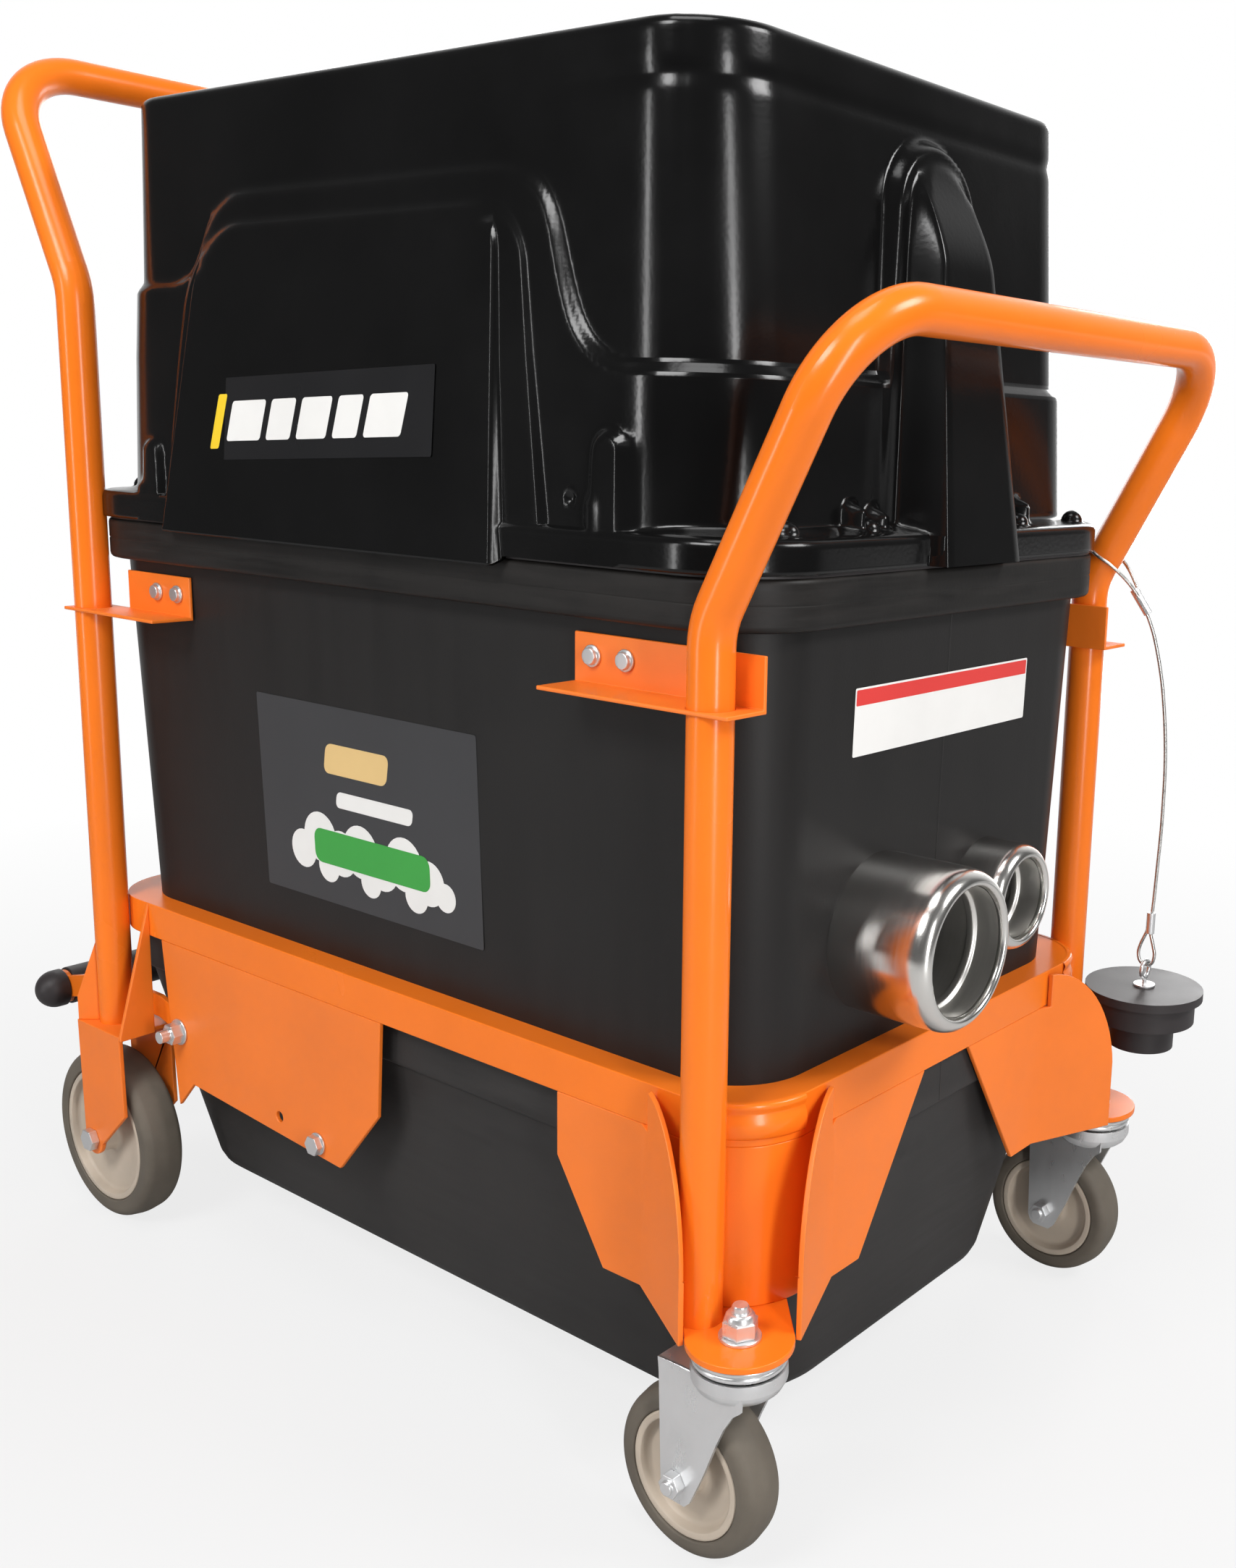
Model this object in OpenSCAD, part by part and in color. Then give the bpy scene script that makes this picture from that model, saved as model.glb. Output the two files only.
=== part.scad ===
// Dust collector on a tube cart. A hood with two suction motors stands on a tub
// with two hose ports, and a bin under the tub drops on a lift lever.
// Millimetres. Front is +X, left is +Y, up is +Z, and the floor is Z = 0.

/* [Frame tube] */
// Outer diameter of the leg and handle tube
tube_d = 31.75; // [28:0.25:34]
// Wall of the tube
tube_wall = 2; // [1:0.25:4]
// Turn of a leg round the ring's corner
leg_turn = 67.5; // [60:0.5:75]
// Height of the front handle's bar
front_bar_z = 857; // [820:1:900]
// Height of the rear handle's bar
rear_bar_z = 1088; // [1040:1:1150]
// Height over which a handle leans out
handle_rise = 212; // [180:1:240]
// Lean of the handles
handle_lean = 27.8; // [15:0.1:35]
// Radius of the bend from leg to handle
lean_bend_r = 60; // [50:1:90]
// Radius of a handle's corners
corner_bend_r = 70; // [50:1:100]

/* [Base ring] */
// Length of the ring
ring_len = 818; // [800:1:840]
// Width of the ring
ring_wid = 496; // [484:1:510]
// Outer radius of the ring's corners
ring_r = 63.5; // [58:0.5:70]
// Width of the ring's upright and flat legs
ring_leg = 32; // [28:1:36]
// Thickness of the ring's steel
ring_t = 3; // [2:0.5:5]
// Height of the ring's top face
ring_z = 329; // [320:1:340]

/* [Corner plates] */
// Thickness of the plate work
plate_t = 4; // [3:0.5:6]
// Distance from the ring's corner to a wing's fold
fold_back = 36; // [30:1:44]
// Length of a side wing along the ring
side_wing_len = 86; // [60:1:120]
// Length of a front wing along the ring
front_wing_len = 116; // [90:1:140]
// Height of a wing's outer end above its caster plate
wing_end_h = 42; // [20:1:60]
// Width of a caster plate
caster_plate_w = 76; // [70:1:84]
// Thickness of a caster plate
caster_plate_t = 5; // [4:0.5:8]
// Length of a caster plate behind its kingpin
caster_plate_back = 60; // [52:1:66]
// Distance of a kingpin ahead of the ring
king_out_x = 4; // [2:1:10]
// Distance of a kingpin outside the ring
king_out_y = 11; // [8:1:16]

/* [Casters] */
// Radius of a caster wheel
caster_r = 63.5; // [58:0.5:66]
// Width of a caster tyre
caster_w = 36; // [30:1:40]
// Radius of a caster hub
caster_hub_r = 47.5; // [42:0.5:50]
// Distance of the axle behind the kingpin
caster_trail = 34; // [28:1:38]
// Height of the caster plates' underside
caster_top_z = 171; // [168:1:176]
// Diameter of a kingpin
king_d = 12; // [10:1:14]
// Diameter of a caster axle
caster_axle_d = 10; // [8:1:12]
// Height of the swivel race
race_h = 11; // [8:1:14]
// Radius of the swivel race
race_r = 35; // [32:1:37]
// Thickness of the pressed fork
fork_t = 3; // [2:0.5:4]

/* [Rear wheels] */
// Radius of a rear wheel
rear_r = 85; // [80:1:90]
// Width of a rear tyre
rear_w = 38; // [32:1:42]
// Radius of a rear hub
rear_hub_r = 66; // [58:1:70]
// Distance of a rear axle ahead of the ring's rear end
rear_axle_in = 21; // [14:1:28]
// Distance of a rear wheel's middle outside the ring
rear_wheel_out = 7; // [5:1:12]
// Diameter of a rear axle
rear_axle_d = 12; // [10:1:14]
// Width between the cheeks of a rear fork
rear_gap = 48; // [46:1:50]
// Height of a rear fork's top face
rear_fork_z = 204; // [200:1:206]
// Length of a rear fork's top plate
rear_fork_len = 74; // [64:1:76]

/* [Brackets] */
// Height of a bracket's upright leg
bracket_h = 38; // [30:1:42]
// Thickness of a bracket
bracket_t = 3; // [2:0.5:4]
// Length of a front bracket
front_bracket_len = 172; // [150:1:180]
// Length of a rear bracket's upright leg
rear_bracket_len = 99; // [80:1:120]
// Distance of the brackets' top below the deck
bracket_gap = 11; // [8:1:20]
// Diameter of the bracket screws
bracket_screw_d = 8; // [6:1:10]

/* [Tub] */
// Height of the deck's underside above the ring
tub_h = 323; // [300:1:340]
// Distance of the tub's top from the ring's ends
tub_in_len = 15.5; // [12:0.5:20]
// Distance of the tub's top from the ring's sides
tub_in_wid = 12; // [10:0.5:18]
// Width of the ring's flange that the tub leaves free
flange_free = 24; // [20:1:28]
// Radius of the tub's corners
tub_r = 60; // [50:1:62]
// Wall of the tub
tub_wall = 4; // [3:0.5:6]

/* [Ports] */
// Outer radius of the large port
large_r = 61; // [56:0.5:64]
// Bore radius of the large port
large_bore_r = 48.5; // [44:0.5:50]
// Distance that the large port stands out
large_out = 84; // [60:1:100]
// Place of the large port across the tub
large_y = -78; // [-84:1:-72]
// Outer radius of the small port
small_r = 44; // [40:0.5:48]
// Bore radius of the small port
small_bore_r = 33; // [28:0.5:36]
// Distance that the small port stands out
small_out = 44; // [30:1:60]
// Place of the small port across the tub
small_y = 72; // [66:1:80]
// Height of the ports' axes
port_z = 418; // [410:1:440]

/* [Deck and hood] */
// Distance of the deck's ends from the ring's ends
deck_in_len = 3; // [0:1:6]
// Overhang of the deck past the ring's sides
deck_out_wid = 4; // [2:1:5]
// Radius of the deck's corners
deck_r = 73; // [72:1:84]
// Thickness of the deck
deck_t = 36; // [30:1:40]
// Thickness of the seal between deck and hood
seal_t = 2; // [1:0.5:4]
// Wall of the hood
hood_wall = 4; // [3:0.5:6]
// Height of the hood over the seal
hood_h = 352; // [330:1:370]
// Height of the hood's foot
skirt_h = 24; // [18:1:30]
// Height of the hood's shoulder
shoulder_h = 132; // [120:1:150]
// Distance of the roof's ends from the ring's ends
roof_in_len = 65; // [60:1:72]
// Distance of the roof's sides from the ring's sides
roof_in_wid = 14; // [12:1:20]
// Shift of the hood towards the front
hood_shift = 5; // [0:1:10]
// Rise of the roof towards the rear
roof_tilt = 0.6; // [0:0.1:2]
// Depth of the shoulder's ledge
ledge = 7; // [5:0.5:9]
// Lean of the end towers
tower_lean = 6.8; // [4:0.1:9]
// Width of an end tower at its foot
tower_w = 104; // [90:1:120]
// Reach of an end tower's foot past the roof
tower_out = 72; // [60:1:80]
// Lean of the side panels
panel_lean = 4.4; // [3:0.1:6]
// Distance of a side panel's foot from the roof's ends
panel_in_len = 126; // [114:1:144]
// Diameter of the deck screws
deck_screw_d = 8; // [6:1:10]

/* [Suction] */
// Distance of the motors from the middle
motor_x = 165; // [150:1:180]
// Radius of a fan chamber's shell
fan_r = 72; // [66:1:80]
// Height of a fan chamber's shell
fan_h = 52; // [46:1:60]
// Radius of a motor barrel
barrel_r = 50; // [46:1:56]
// Height of a motor with its fan chamber
motor_h = 152; // [140:1:170]
// Wall of a motor shell
shell_wall = 4; // [3:0.5:5]
// Diameter of a rotor shaft
shaft_d = 12; // [10:1:14]
// Outer diameter of a bearing
bearing_d = 28; // [26:1:32]
// Width of a bearing
bearing_w = 8; // [7:1:10]
// Blades of an impeller
blades = 9; // [6:1:12]
// Radius of a filter
filter_r = 76; // [70:1:82]
// Length of a filter
filter_len = 230; // [200:1:250]

/* [Dust bin and lift] */
// Height of the bin's bottom above the floor
bin_z = 51; // [46:1:60]
// Distance of the bin's bottom from the ring's ends
bin_in_len = 41; // [37:1:49]
// Distance of the bin's bottom from the ring's sides
bin_in_wid = 49; // [45:1:54]
// Radius of the bin's corners at the bottom
bin_foot_r = 90; // [84:1:96]
// Height of the rim's underside
rim_z = 257; // [250:1:262]
// Width of the rim
rim_w = 6; // [5:0.5:8]
// Room between the rim and the ring
rim_room = 11; // [10.5:0.5:12]
// Wall of the bin
bin_wall = 4; // [3:0.5:5]
// Thickness of the bin's seal
bin_seal_t = 4; // [3:0.5:6]
// Distance of the lever's pivot ahead of the ring's rear end
pivot_in = 125; // [119:1:131]
// Height of the lever's pivot
pivot_z = 212; // [208:1:216]
// Length from pivot to lift pin
lift_arm = 224; // [200:1:240]
// Diameter of the pivot bolts
pivot_d = 12; // [10:1:14]
// Width of a lever arm
arm_w = 22; // [20:1:24]
// Thickness of a lever arm
arm_t = 5; // [4:0.5:5.5]
// Distance of the lever's grip behind the ring
grip_out = 103; // [96:1:116]
// Diameter of the lever's grip
grip_d = 38; // [32:1:42]

/* [Stopper] */
// Diameter of the stopper's flange
stopper_d = 108; // [100:1:108]
// Height of the stopper's top face
stopper_z = 288; // [286:1:288]
// Diameter of the wire rope
rope_d = 3.2; // [2.5:0.1:3.6]

/* [Hidden] */
$fn = 64;
// Radial clearance of a turning fit
run_gap = 0.05;
// Clearance of a fixed fit
fit_gap = 0.05;
// Clearance between faces that slide or stay close
face_gap = 0.4;
// Gap that a weld bridges
weld_gap = 0.2;
// Overlap of a cut past the face that it opens
cut = 1;

paint = [0.95, 0.36, 0.05];
black_plastic = [0.07, 0.07, 0.075];
tub_plastic = [0.11, 0.11, 0.115];
rubber_black = [0.06, 0.06, 0.06];
rubber_grey = [0.5, 0.5, 0.51];
hub_beige = [0.78, 0.72, 0.6];
zinc = [0.75, 0.76, 0.78];
stainless = [0.8, 0.8, 0.8];
copper = [0.72, 0.45, 0.25];
paper = [0.9, 0.88, 0.82];
switch_red = [0.75, 0.1, 0.08];

function to_hundredths(v) = round(v * 100) / 100;

tube_r = tube_d / 2;
ring_lx = ring_len / 2;
ring_wy = ring_wid / 2;
ring_foot_z = ring_z - ring_leg;
rear_axle_x = ring_lx - rear_axle_in;
rear_wheel_y = ring_wy + rear_wheel_out;
tub_top_len = ring_len - 2 * tub_in_len;
tub_top_wid = ring_wid - 2 * tub_in_wid;
deck_len = ring_len - 2 * deck_in_len;
deck_wid = ring_wid + 2 * deck_out_wid;
roof_len = ring_len - 2 * roof_in_len;
roof_wid = ring_wid - 2 * roof_in_wid;
panel_len = roof_len - 2 * panel_in_len;
bin_foot_l = ring_lx - bin_in_len;
bin_foot_w = ring_wy - bin_in_wid;
pivot_x = ring_lx - pivot_in;
grip_x = ring_lx + grip_out;
ring_turn_x = ring_lx - ring_r;
ring_turn_y = ring_wy - ring_r;
leg_reach = ring_r + tube_r + weld_gap;
leg_x = to_hundredths(ring_turn_x + leg_reach * cos(leg_turn));
leg_y = to_hundredths(ring_turn_y + leg_reach * sin(leg_turn));

// Handle: straight part after the lean bend, and how far out the bar lies
lean_run = to_hundredths((handle_rise - lean_bend_r * sin(handle_lean)) / cos(handle_lean) - corner_bend_r);
bar_out = lean_bend_r * (1 - cos(handle_lean)) + (lean_run + corner_bend_r) * sin(handle_lean);

// The origin lies in the middle of the overall length, on the floor
front_reach = leg_x + bar_out + tube_r;
rear_reach = max(grip_x + grip_d / 2, front_reach);
centre_x = (rear_reach - front_reach) / 2;

king_x = ring_lx + king_out_x;
king_y = ring_wy + king_out_y;
caster_plate_z = caster_top_z + caster_plate_t;
king_nut_h = 10;
washer_t = 2;
fold_x = ring_turn_x - fold_back;
fold_y = ring_turn_y - fold_back;
plate_half = (caster_plate_w / 2 + plate_t / 2 + 2 * weld_gap) * cos(45);
wing_foot_z = caster_top_z;
wing_curl = 12;
mid_x = ring_lx - plate_t / 2;
mid_y = ring_wy - plate_t / 2;

race_z = caster_top_z - race_h;
fork_top_z = race_z - face_gap - 7;
fork_gap = caster_w + 9;
hub_over = 3;

tub_z0 = ring_z;
tub_z1 = ring_z + tub_h;
open_lx = ring_lx - flange_free;
open_wy = ring_wy - flange_free;
tub_foot_l = open_lx + 1;
tub_foot_w = open_wy + 1;
tub_skirt = 11;
tub_slope_l = (tub_top_len / 2 - tub_foot_l) / tub_h;
tub_slope_w = (tub_top_wid / 2 - tub_foot_w) / tub_h;
port_wall_x = tub_foot_l + tub_slope_l * (port_z - tub_z0);
port_in = 14;
port_wall = 2.5;

deck_z1 = tub_z1 + deck_t;
hood_z = deck_z1 + seal_t;
roof_l = roof_len / 2;
roof_w = roof_wid / 2;
shoulder_z = hood_z + shoulder_h;
roof_z = hood_z + hood_h;
tower_top = hood_h - 46;
panel_h = 250;
panel_out = 16;

bracket_z = tub_z1 - bracket_gap - bracket_h;
bracket_y = tub_top_wid / 2 - bracket_gap * tub_slope_w + face_gap;
bracket_reach = leg_y + tube_r + 2 - bracket_y;

rim_l = ring_lx - ring_t - rim_room / 4;
rim_wy = ring_wy - ring_t - rim_room;
rim_top = ring_z - ring_t - bin_seal_t - face_gap;
rim_r = ring_r - ring_t - rim_w;
bin_top_l = rim_l - rim_w;
bin_top_w = rim_wy - rim_w + 1;

arm_in = rim_wy + 2;
arm_mid = arm_in + arm_t / 2;
lift_x = lift_arm - pivot_x;
lift_pin_d = 14;
lift_pin_z = rim_z - face_gap - lift_pin_d / 2;
grip_z = 200;
bar_d = 20;
arm_knee_x = ring_lx + 11;
arm_knee_z = rear_fork_z + arm_w / 2 + 9;

motor_z = deck_z1 + 3;
web_t = 12;
slot_w = 14;
slot_h = 40;
outlet_w = 24;
outlet_h = 20;
armature_z = fan_h + web_t + 6;
top_seat_z = motor_h - shell_wall - bearing_w;

screw_x = deck_len / 2 - 20;
corner_screw_y = deck_wid / 2 - 56;
screw_ys = [-corner_screw_y, -tower_w, tower_w, corner_screw_y];

// Shared shapes

module placed() translate([centre_x, 0, 0]) children();

module both_sides() {
    children();
    mirror([0, 1, 0]) children();
}

module side(s) {
    if (s > 0) children();
    else mirror([0, 1, 0]) children();
}

module four_corners() {
    both_sides() children();
    mirror([1, 0, 0]) both_sides() children();
}

module rrect(l, w, r) {
    square([2 * l - 2 * r, 2 * w], center = true);
    square([2 * l, 2 * w - 2 * r], center = true);
    for (x = [-1, 1], y = [-1, 1]) translate([x * (l - r), y * (w - r)]) circle(r);
}

module slab(l, w, r, z, tilt = 0) translate([0, 0, z]) rotate([0, tilt, 0])
    linear_extrude(0.02) rrect(l, w, r, $fn = 32);

// Plate drawn in X and Z, standing across Y from y to y + t
module wall_xz(y, t) translate([0, y + t, 0]) rotate([90, 0, 0]) linear_extrude(t) children();

// Plate drawn in Y and Z, standing across X from x to x + t
module wall_yz(x, t) translate([x, 0, 0]) rotate([90, 0, 90]) linear_extrude(t) children();

module rod_y(d, y0, y1) translate([0, y0, 0]) rotate([-90, 0, 0]) cylinder(d = d, h = y1 - y0);

module hex_y(af, y0, y1) translate([0, y0, 0]) rotate([-90, 0, 0])
    cylinder(d = af / cos(30), h = y1 - y0, $fn = 6);

// Strip of width w along a path in a plane, with mitred knees
module strip(path, w) {
    last = len(path) - 1;
    side_of = [for (i = [0:last - 1]) let (run = unit(path[i + 1] - path[i])) [-run[1], run[0]]];
    knee = [for (i = [0:last])
        let (a = side_of[max(i - 1, 0)], b = side_of[min(i, last - 1)]) (a + b) / (1 + a * b)];
    edge = [for (i = [0:last]) path[i] + knee[i] * w / 2];
    other = [for (i = [0:last]) path[last - i] - knee[last - i] * w / 2];
    polygon(concat(edge, other));
}

// Frame

module tube_section() difference() {
    circle(d = tube_d);
    circle(d = tube_d - 2 * tube_wall);
}

module pipe(h) linear_extrude(h) tube_section();

module elbow(r, a) rotate_extrude(angle = a) translate([r, 0]) tube_section();

// One leg and half of its handle, leaning to +X, for the left side
module handle_side(foot_z, bar_z) {
    bend_z = bar_z - handle_rise;
    translate([0, leg_y, foot_z]) pipe(bend_z - foot_z);
    translate([lean_bend_r, leg_y, bend_z]) rotate([90, 0, 180]) {
        elbow(lean_bend_r, handle_lean);
        after_elbow(lean_bend_r, handle_lean) {
            pipe(lean_run);
            translate([0, corner_bend_r, lean_run]) rotate([90, 0, -90]) elbow(corner_bend_r, 90);
            translate([0, corner_bend_r, lean_run + corner_bend_r]) rotate([-90, 0, 0])
                pipe(leg_y - corner_bend_r);
        }
    }
}

module after_elbow(r, a) rotate([0, 0, a]) translate([r, 0, 0]) rotate([-90, 0, 0]) children();

module handle(foot_z, bar_z) both_sides() handle_side(foot_z, bar_z);

module front_handle() color(paint) placed() translate([leg_x, 0, 0]) handle(caster_plate_z, front_bar_z);

module rear_handle() color(paint) placed() translate([-leg_x, 0, 0]) mirror([1, 0, 0])
    handle(rear_fork_z, rear_bar_z);

module base_ring() color(paint) placed() difference() {
    translate([0, 0, ring_foot_z]) linear_extrude(ring_leg) rrect(ring_lx, ring_wy, ring_r);
    translate([0, 0, ring_foot_z - cut]) linear_extrude(ring_leg - ring_t + cut)
        rrect(ring_lx - ring_t, ring_wy - ring_t, ring_r - ring_t);
    translate([0, 0, ring_foot_z]) linear_extrude(ring_leg + cut) rrect(open_lx, open_wy, tub_r);
}

module bracket(x0, x1, foot_x0, foot_x1) difference() {
    union() {
        translate([x0, bracket_y, bracket_z]) cube([x1 - x0, bracket_t, bracket_h]);
        translate([foot_x0, bracket_y, bracket_z]) cube([foot_x1 - foot_x0, bracket_reach, bracket_t]);
    }
    translate([leg_x, leg_y, bracket_z - cut]) cylinder(r = tube_r + weld_gap, h = bracket_h);
    for (x = bracket_screw_xs(x0)) translate([x, 0, bracket_screw_z])
        rod_y(bracket_screw_d, bracket_y - cut, bracket_y + bracket_t + cut);
}

bracket_over = 13;
screw_edge = 18;
screw_pitch = 32;
bracket_screw_z = bracket_z + bracket_h * 0.58;
front_bracket_x1 = leg_x + tube_r + bracket_over;
front_bracket_x0 = front_bracket_x1 - front_bracket_len;
rear_bracket_x1 = leg_x - tube_r - bracket_over;
rear_bracket_x0 = rear_bracket_x1 - rear_bracket_len;

function bracket_screw_xs(x0) = [x0 + screw_edge, x0 + screw_edge + screw_pitch];

module front_brackets() color(paint) placed() both_sides()
    bracket(front_bracket_x0, front_bracket_x1, front_bracket_x0, front_bracket_x1);

module rear_brackets() color(paint) placed() mirror([1, 0, 0]) both_sides()
    bracket(rear_bracket_x0, rear_bracket_x1, rear_bracket_x0, leg_x + tube_r + 3);

module bracket_screw(x) translate([x, 0, bracket_screw_z]) {
    head_y = bracket_y + bracket_t;
    rod_y(bracket_screw_d - 2 * fit_gap, bracket_y - tub_wall - bracket_screw_d, head_y);
    rod_y(bracket_screw_d * 2, head_y, head_y + washer_t);
    rod_y(bracket_screw_d * 1.5, head_y + washer_t, head_y + washer_t + bracket_screw_d * 0.4);
}

module bracket_screws() color(zinc) placed() both_sides() {
    for (x = bracket_screw_xs(front_bracket_x0)) bracket_screw(x);
    for (x = bracket_screw_xs(rear_bracket_x0)) mirror([1, 0, 0]) bracket_screw(x);
}

// Elevation of a wing: its flat end under the ring, then a curl from beside the ring to the caster plate
function wing_outline(flat_end, fold, tip) =
    let (
        end_z = caster_plate_z + wing_end_h,
        top_z = ring_z - ring_t,
        span = tip - fold - wing_curl
    ) concat(
        flat_end,
        [[tip + plate_t, wing_foot_z], [tip + plate_t, end_z]],
        [for (a = [90:-6:0]) [fold + wing_curl + span * sin(a), end_z + (top_z - end_z) * cos(a)]],
        [[fold + wing_curl, ring_foot_z]]
    );

// A wing's strip in plan, taller than its elevation
module wing_strip(path) translate([0, 0, wing_foot_z - cut]) linear_extrude(ring_z - wing_foot_z + 2 * cut)
    strip(path, plate_t);

module side_wing() intersection() {
    x0 = fold_x - side_wing_len;
    end_z = ring_foot_z - (ring_foot_z - wing_foot_z) * 0.4;
    tip = [king_x - plate_half, king_y + plate_half];
    wing_strip([[x0 - cut, mid_y], [fold_x, mid_y], tip]);
    wall_xz(ring_turn_y, ring_wid) polygon(wing_outline(
        [[x0, ring_foot_z], [x0, end_z], [x0 + side_wing_len * 0.56, wing_foot_z]], fold_x, tip[0]));
}

module front_wing() intersection() {
    y0 = fold_y - front_wing_len;
    tip = [king_x + plate_half, king_y - plate_half];
    wing_strip([[mid_x, y0 - cut], [mid_x, fold_y], tip]);
    wall_yz(ring_turn_x, ring_wid) polygon(wing_outline(
        [[y0, ring_foot_z], [y0 + front_wing_len * 0.7, wing_foot_z]], fold_y, tip[1]));
}

module side_wings() color(paint) placed() both_sides() side_wing();

module front_wings() color(paint) placed() both_sides() front_wing();

module corner_backs() color(paint) placed() both_sides() intersection() {
    translate([0, 0, caster_plate_z]) linear_extrude(ring_foot_z - caster_plate_z) difference() {
        rrect(ring_lx, ring_wy, ring_r);
        rrect(ring_lx - plate_t, ring_wy - plate_t, ring_r - plate_t);
    }
    translate([fold_x + wing_curl, fold_y + wing_curl, 0]) cube([ring_lx, ring_wy, ring_z]);
}

module caster_plates() color(paint) placed() both_sides() translate([king_x, king_y, caster_top_z])
    rotate(225) linear_extrude(caster_plate_t) difference() {
        union() {
            circle(d = caster_plate_w);
            translate([0, -caster_plate_w / 2]) square([caster_plate_back, caster_plate_w]);
        }
        circle(r = king_d / 2 + fit_gap);
    }

side_bolt_run = 211;
side_bolt_x = pivot_x - side_bolt_run;
side_bolt_z = 164;
side_bolt_d = 10;
spare_hole_run = 155;
spare_hole_x = pivot_x - spare_hole_run;
spare_hole_z = 172;
plate_rear = 24;
plate_front = 300;
plate_rake = 6;
plate_toe = 241;
plate_toe_z = 150;
plate_heel = 19;
plate_heel_z = 137;

// Plate under the ring's side, from behind the lever's pivot to its stop bolt
module side_plate(s) side(s) difference() {
    translate([-pivot_x, 0, 0]) wall_xz(ring_wy - plate_t, plate_t) polygon([
        [-plate_rear, ring_foot_z], [plate_front, ring_foot_z], [plate_front - plate_rake, pivot_z],
        [plate_toe, plate_toe_z], [plate_heel, side_bolt_z], [-plate_rake, plate_heel_z]
    ]);
    translate([-pivot_x, 0, pivot_z]) rod_y(pivot_d + 2 * fit_gap, 0, ring_wid);
    translate([-side_bolt_x, 0, side_bolt_z]) rod_y(side_bolt_d + 2 * fit_gap, 0, ring_wid);
    translate([-spare_hole_x, 0, spare_hole_z]) rod_y(side_bolt_d, 0, ring_wid);
}

module side_plate_l() color(paint) placed() side_plate(1);

module side_plate_r() color(paint) placed() side_plate(-1);

module pivot_bolt() translate([-pivot_x, 0, pivot_z]) {
    rod_y(pivot_d, arm_in - 1, ring_wy + pivot_d * 1.8);
    difference() {
        rod_y(pivot_d * 2, arm_in + arm_t + face_gap, ring_wy - plate_t);
        rod_y(pivot_d, arm_in, ring_wy);
    }
    rod_y(pivot_d * 2.1, ring_wy, ring_wy + washer_t);
    hex_y(pivot_d * 1.5, ring_wy + washer_t, ring_wy + pivot_d);
}

module stop_bolt() translate([-side_bolt_x, 0, side_bolt_z]) {
    nut_h = side_bolt_d * 0.8;
    rod_y(side_bolt_d, ring_wy - plate_t - nut_h - cut, ring_wy + washer_t);
    rod_y(side_bolt_d * 2, ring_wy, ring_wy + washer_t);
    hex_y(side_bolt_d * 1.6, ring_wy + washer_t, ring_wy + nut_h);
    hex_y(side_bolt_d * 1.6, ring_wy - plate_t - nut_h, ring_wy - plate_t);
}

module side_bolts() color(zinc) placed() both_sides() {
    pivot_bolt();
    stop_bolt();
}

// Rear wheels

rear_cheek_t = 4;
axle_boss_r = 16;
cheek_low_z = rear_r + 38;
gusset_low = 24;
gusset_high = 80;
rear_fork_x1 = leg_x - 45;
rear_fork_x0 = rear_fork_x1 + rear_fork_len;
rear_fork_half = rear_gap / 2 + rear_cheek_t;

module rear_cheek() difference() {
    union() {
        polygon([
            [-rear_fork_x0, rear_fork_z], [-rear_fork_x1, rear_fork_z], [-rear_fork_x1 + 2, cheek_low_z],
            [-rear_axle_x + axle_boss_r, rear_r - 2], [-rear_axle_x - axle_boss_r + 2, rear_r - 2]
        ]);
        translate([-rear_axle_x, rear_r]) circle(axle_boss_r);
    }
    translate([-rear_axle_x, rear_r]) circle(d = rear_axle_d + 2 * fit_gap);
}

module rear_fork(s) side(s) {
    for (y = [-rear_fork_half, rear_gap / 2]) wall_xz(rear_wheel_y + y, rear_cheek_t) rear_cheek();
    translate([-rear_fork_x0, rear_wheel_y - rear_fork_half, rear_fork_z - rear_cheek_t])
        cube([rear_fork_len, 2 * rear_fork_half, rear_cheek_t]);
}

module rear_fork_l() color(paint) placed() rear_fork(1);

module rear_fork_r() color(paint) placed() rear_fork(-1);

// One web runs from the ring's side to the fork, one from the leg to the fork's outer corner
module rear_gusset_pair() {
    y1 = rear_wheel_y + rear_fork_half;
    corner = [-rear_fork_x0, y1] - [-leg_x, leg_y];
    wall_yz(-rear_fork_x1, plate_t)
        polygon([
            [ring_wy, ring_z], [y1, rear_fork_z],
            [y1, rear_fork_z - rear_cheek_t], [ring_wy, rear_fork_z - rear_cheek_t]
        ]);
    web_x0 = tube_r + weld_gap;
    web_x1 = norm(corner) - plate_t / 2;
    translate([-leg_x, leg_y, 0]) rotate([0, 0, atan2(corner[1], corner[0])])
        wall_xz(-plate_t / 2, plate_t) polygon([
            [web_x0, rear_fork_z], [web_x1, rear_fork_z],
            [web_x1, rear_fork_z + gusset_low], [web_x0, rear_fork_z + gusset_high]
        ]);
}

module rear_gussets() color(paint) placed() both_sides() rear_gusset_pair();

module axle_bolt(d, half, y) {
    head_h = d * 0.65;
    nut_h = d * 0.8;
    rod_y(d, y - half - nut_h - 3 * cut, y + half + head_h / 2);
    hex_y(d * 1.6, y + half, y + half + head_h);
    hex_y(d * 1.6, y - half - nut_h, y - half);
}

module rear_axles() color(zinc) placed() both_sides() translate([-rear_axle_x, 0, rear_r])
    axle_bolt(rear_axle_d, rear_fork_half, rear_wheel_y);

// Wheel hub turned about Y: a rim, a dished web and a boss with its bore
module hub(r, w, bore, boss_w) rotate([90, 0, 0]) rotate_extrude() {
    polygon([[r - 9, -w / 2 + 1], [r, -w / 2 + 1], [r, w / 2 - 1], [r - 9, w / 2 - 1]]);
    polygon([[bore + 8, -5], [r - 8, -9], [r - 8, 9], [bore + 8, 5]]);
    polygon([[bore, -boss_w / 2], [bore + 9, -boss_w / 2], [bore + 9, boss_w / 2], [bore, boss_w / 2]]);
}

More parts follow.
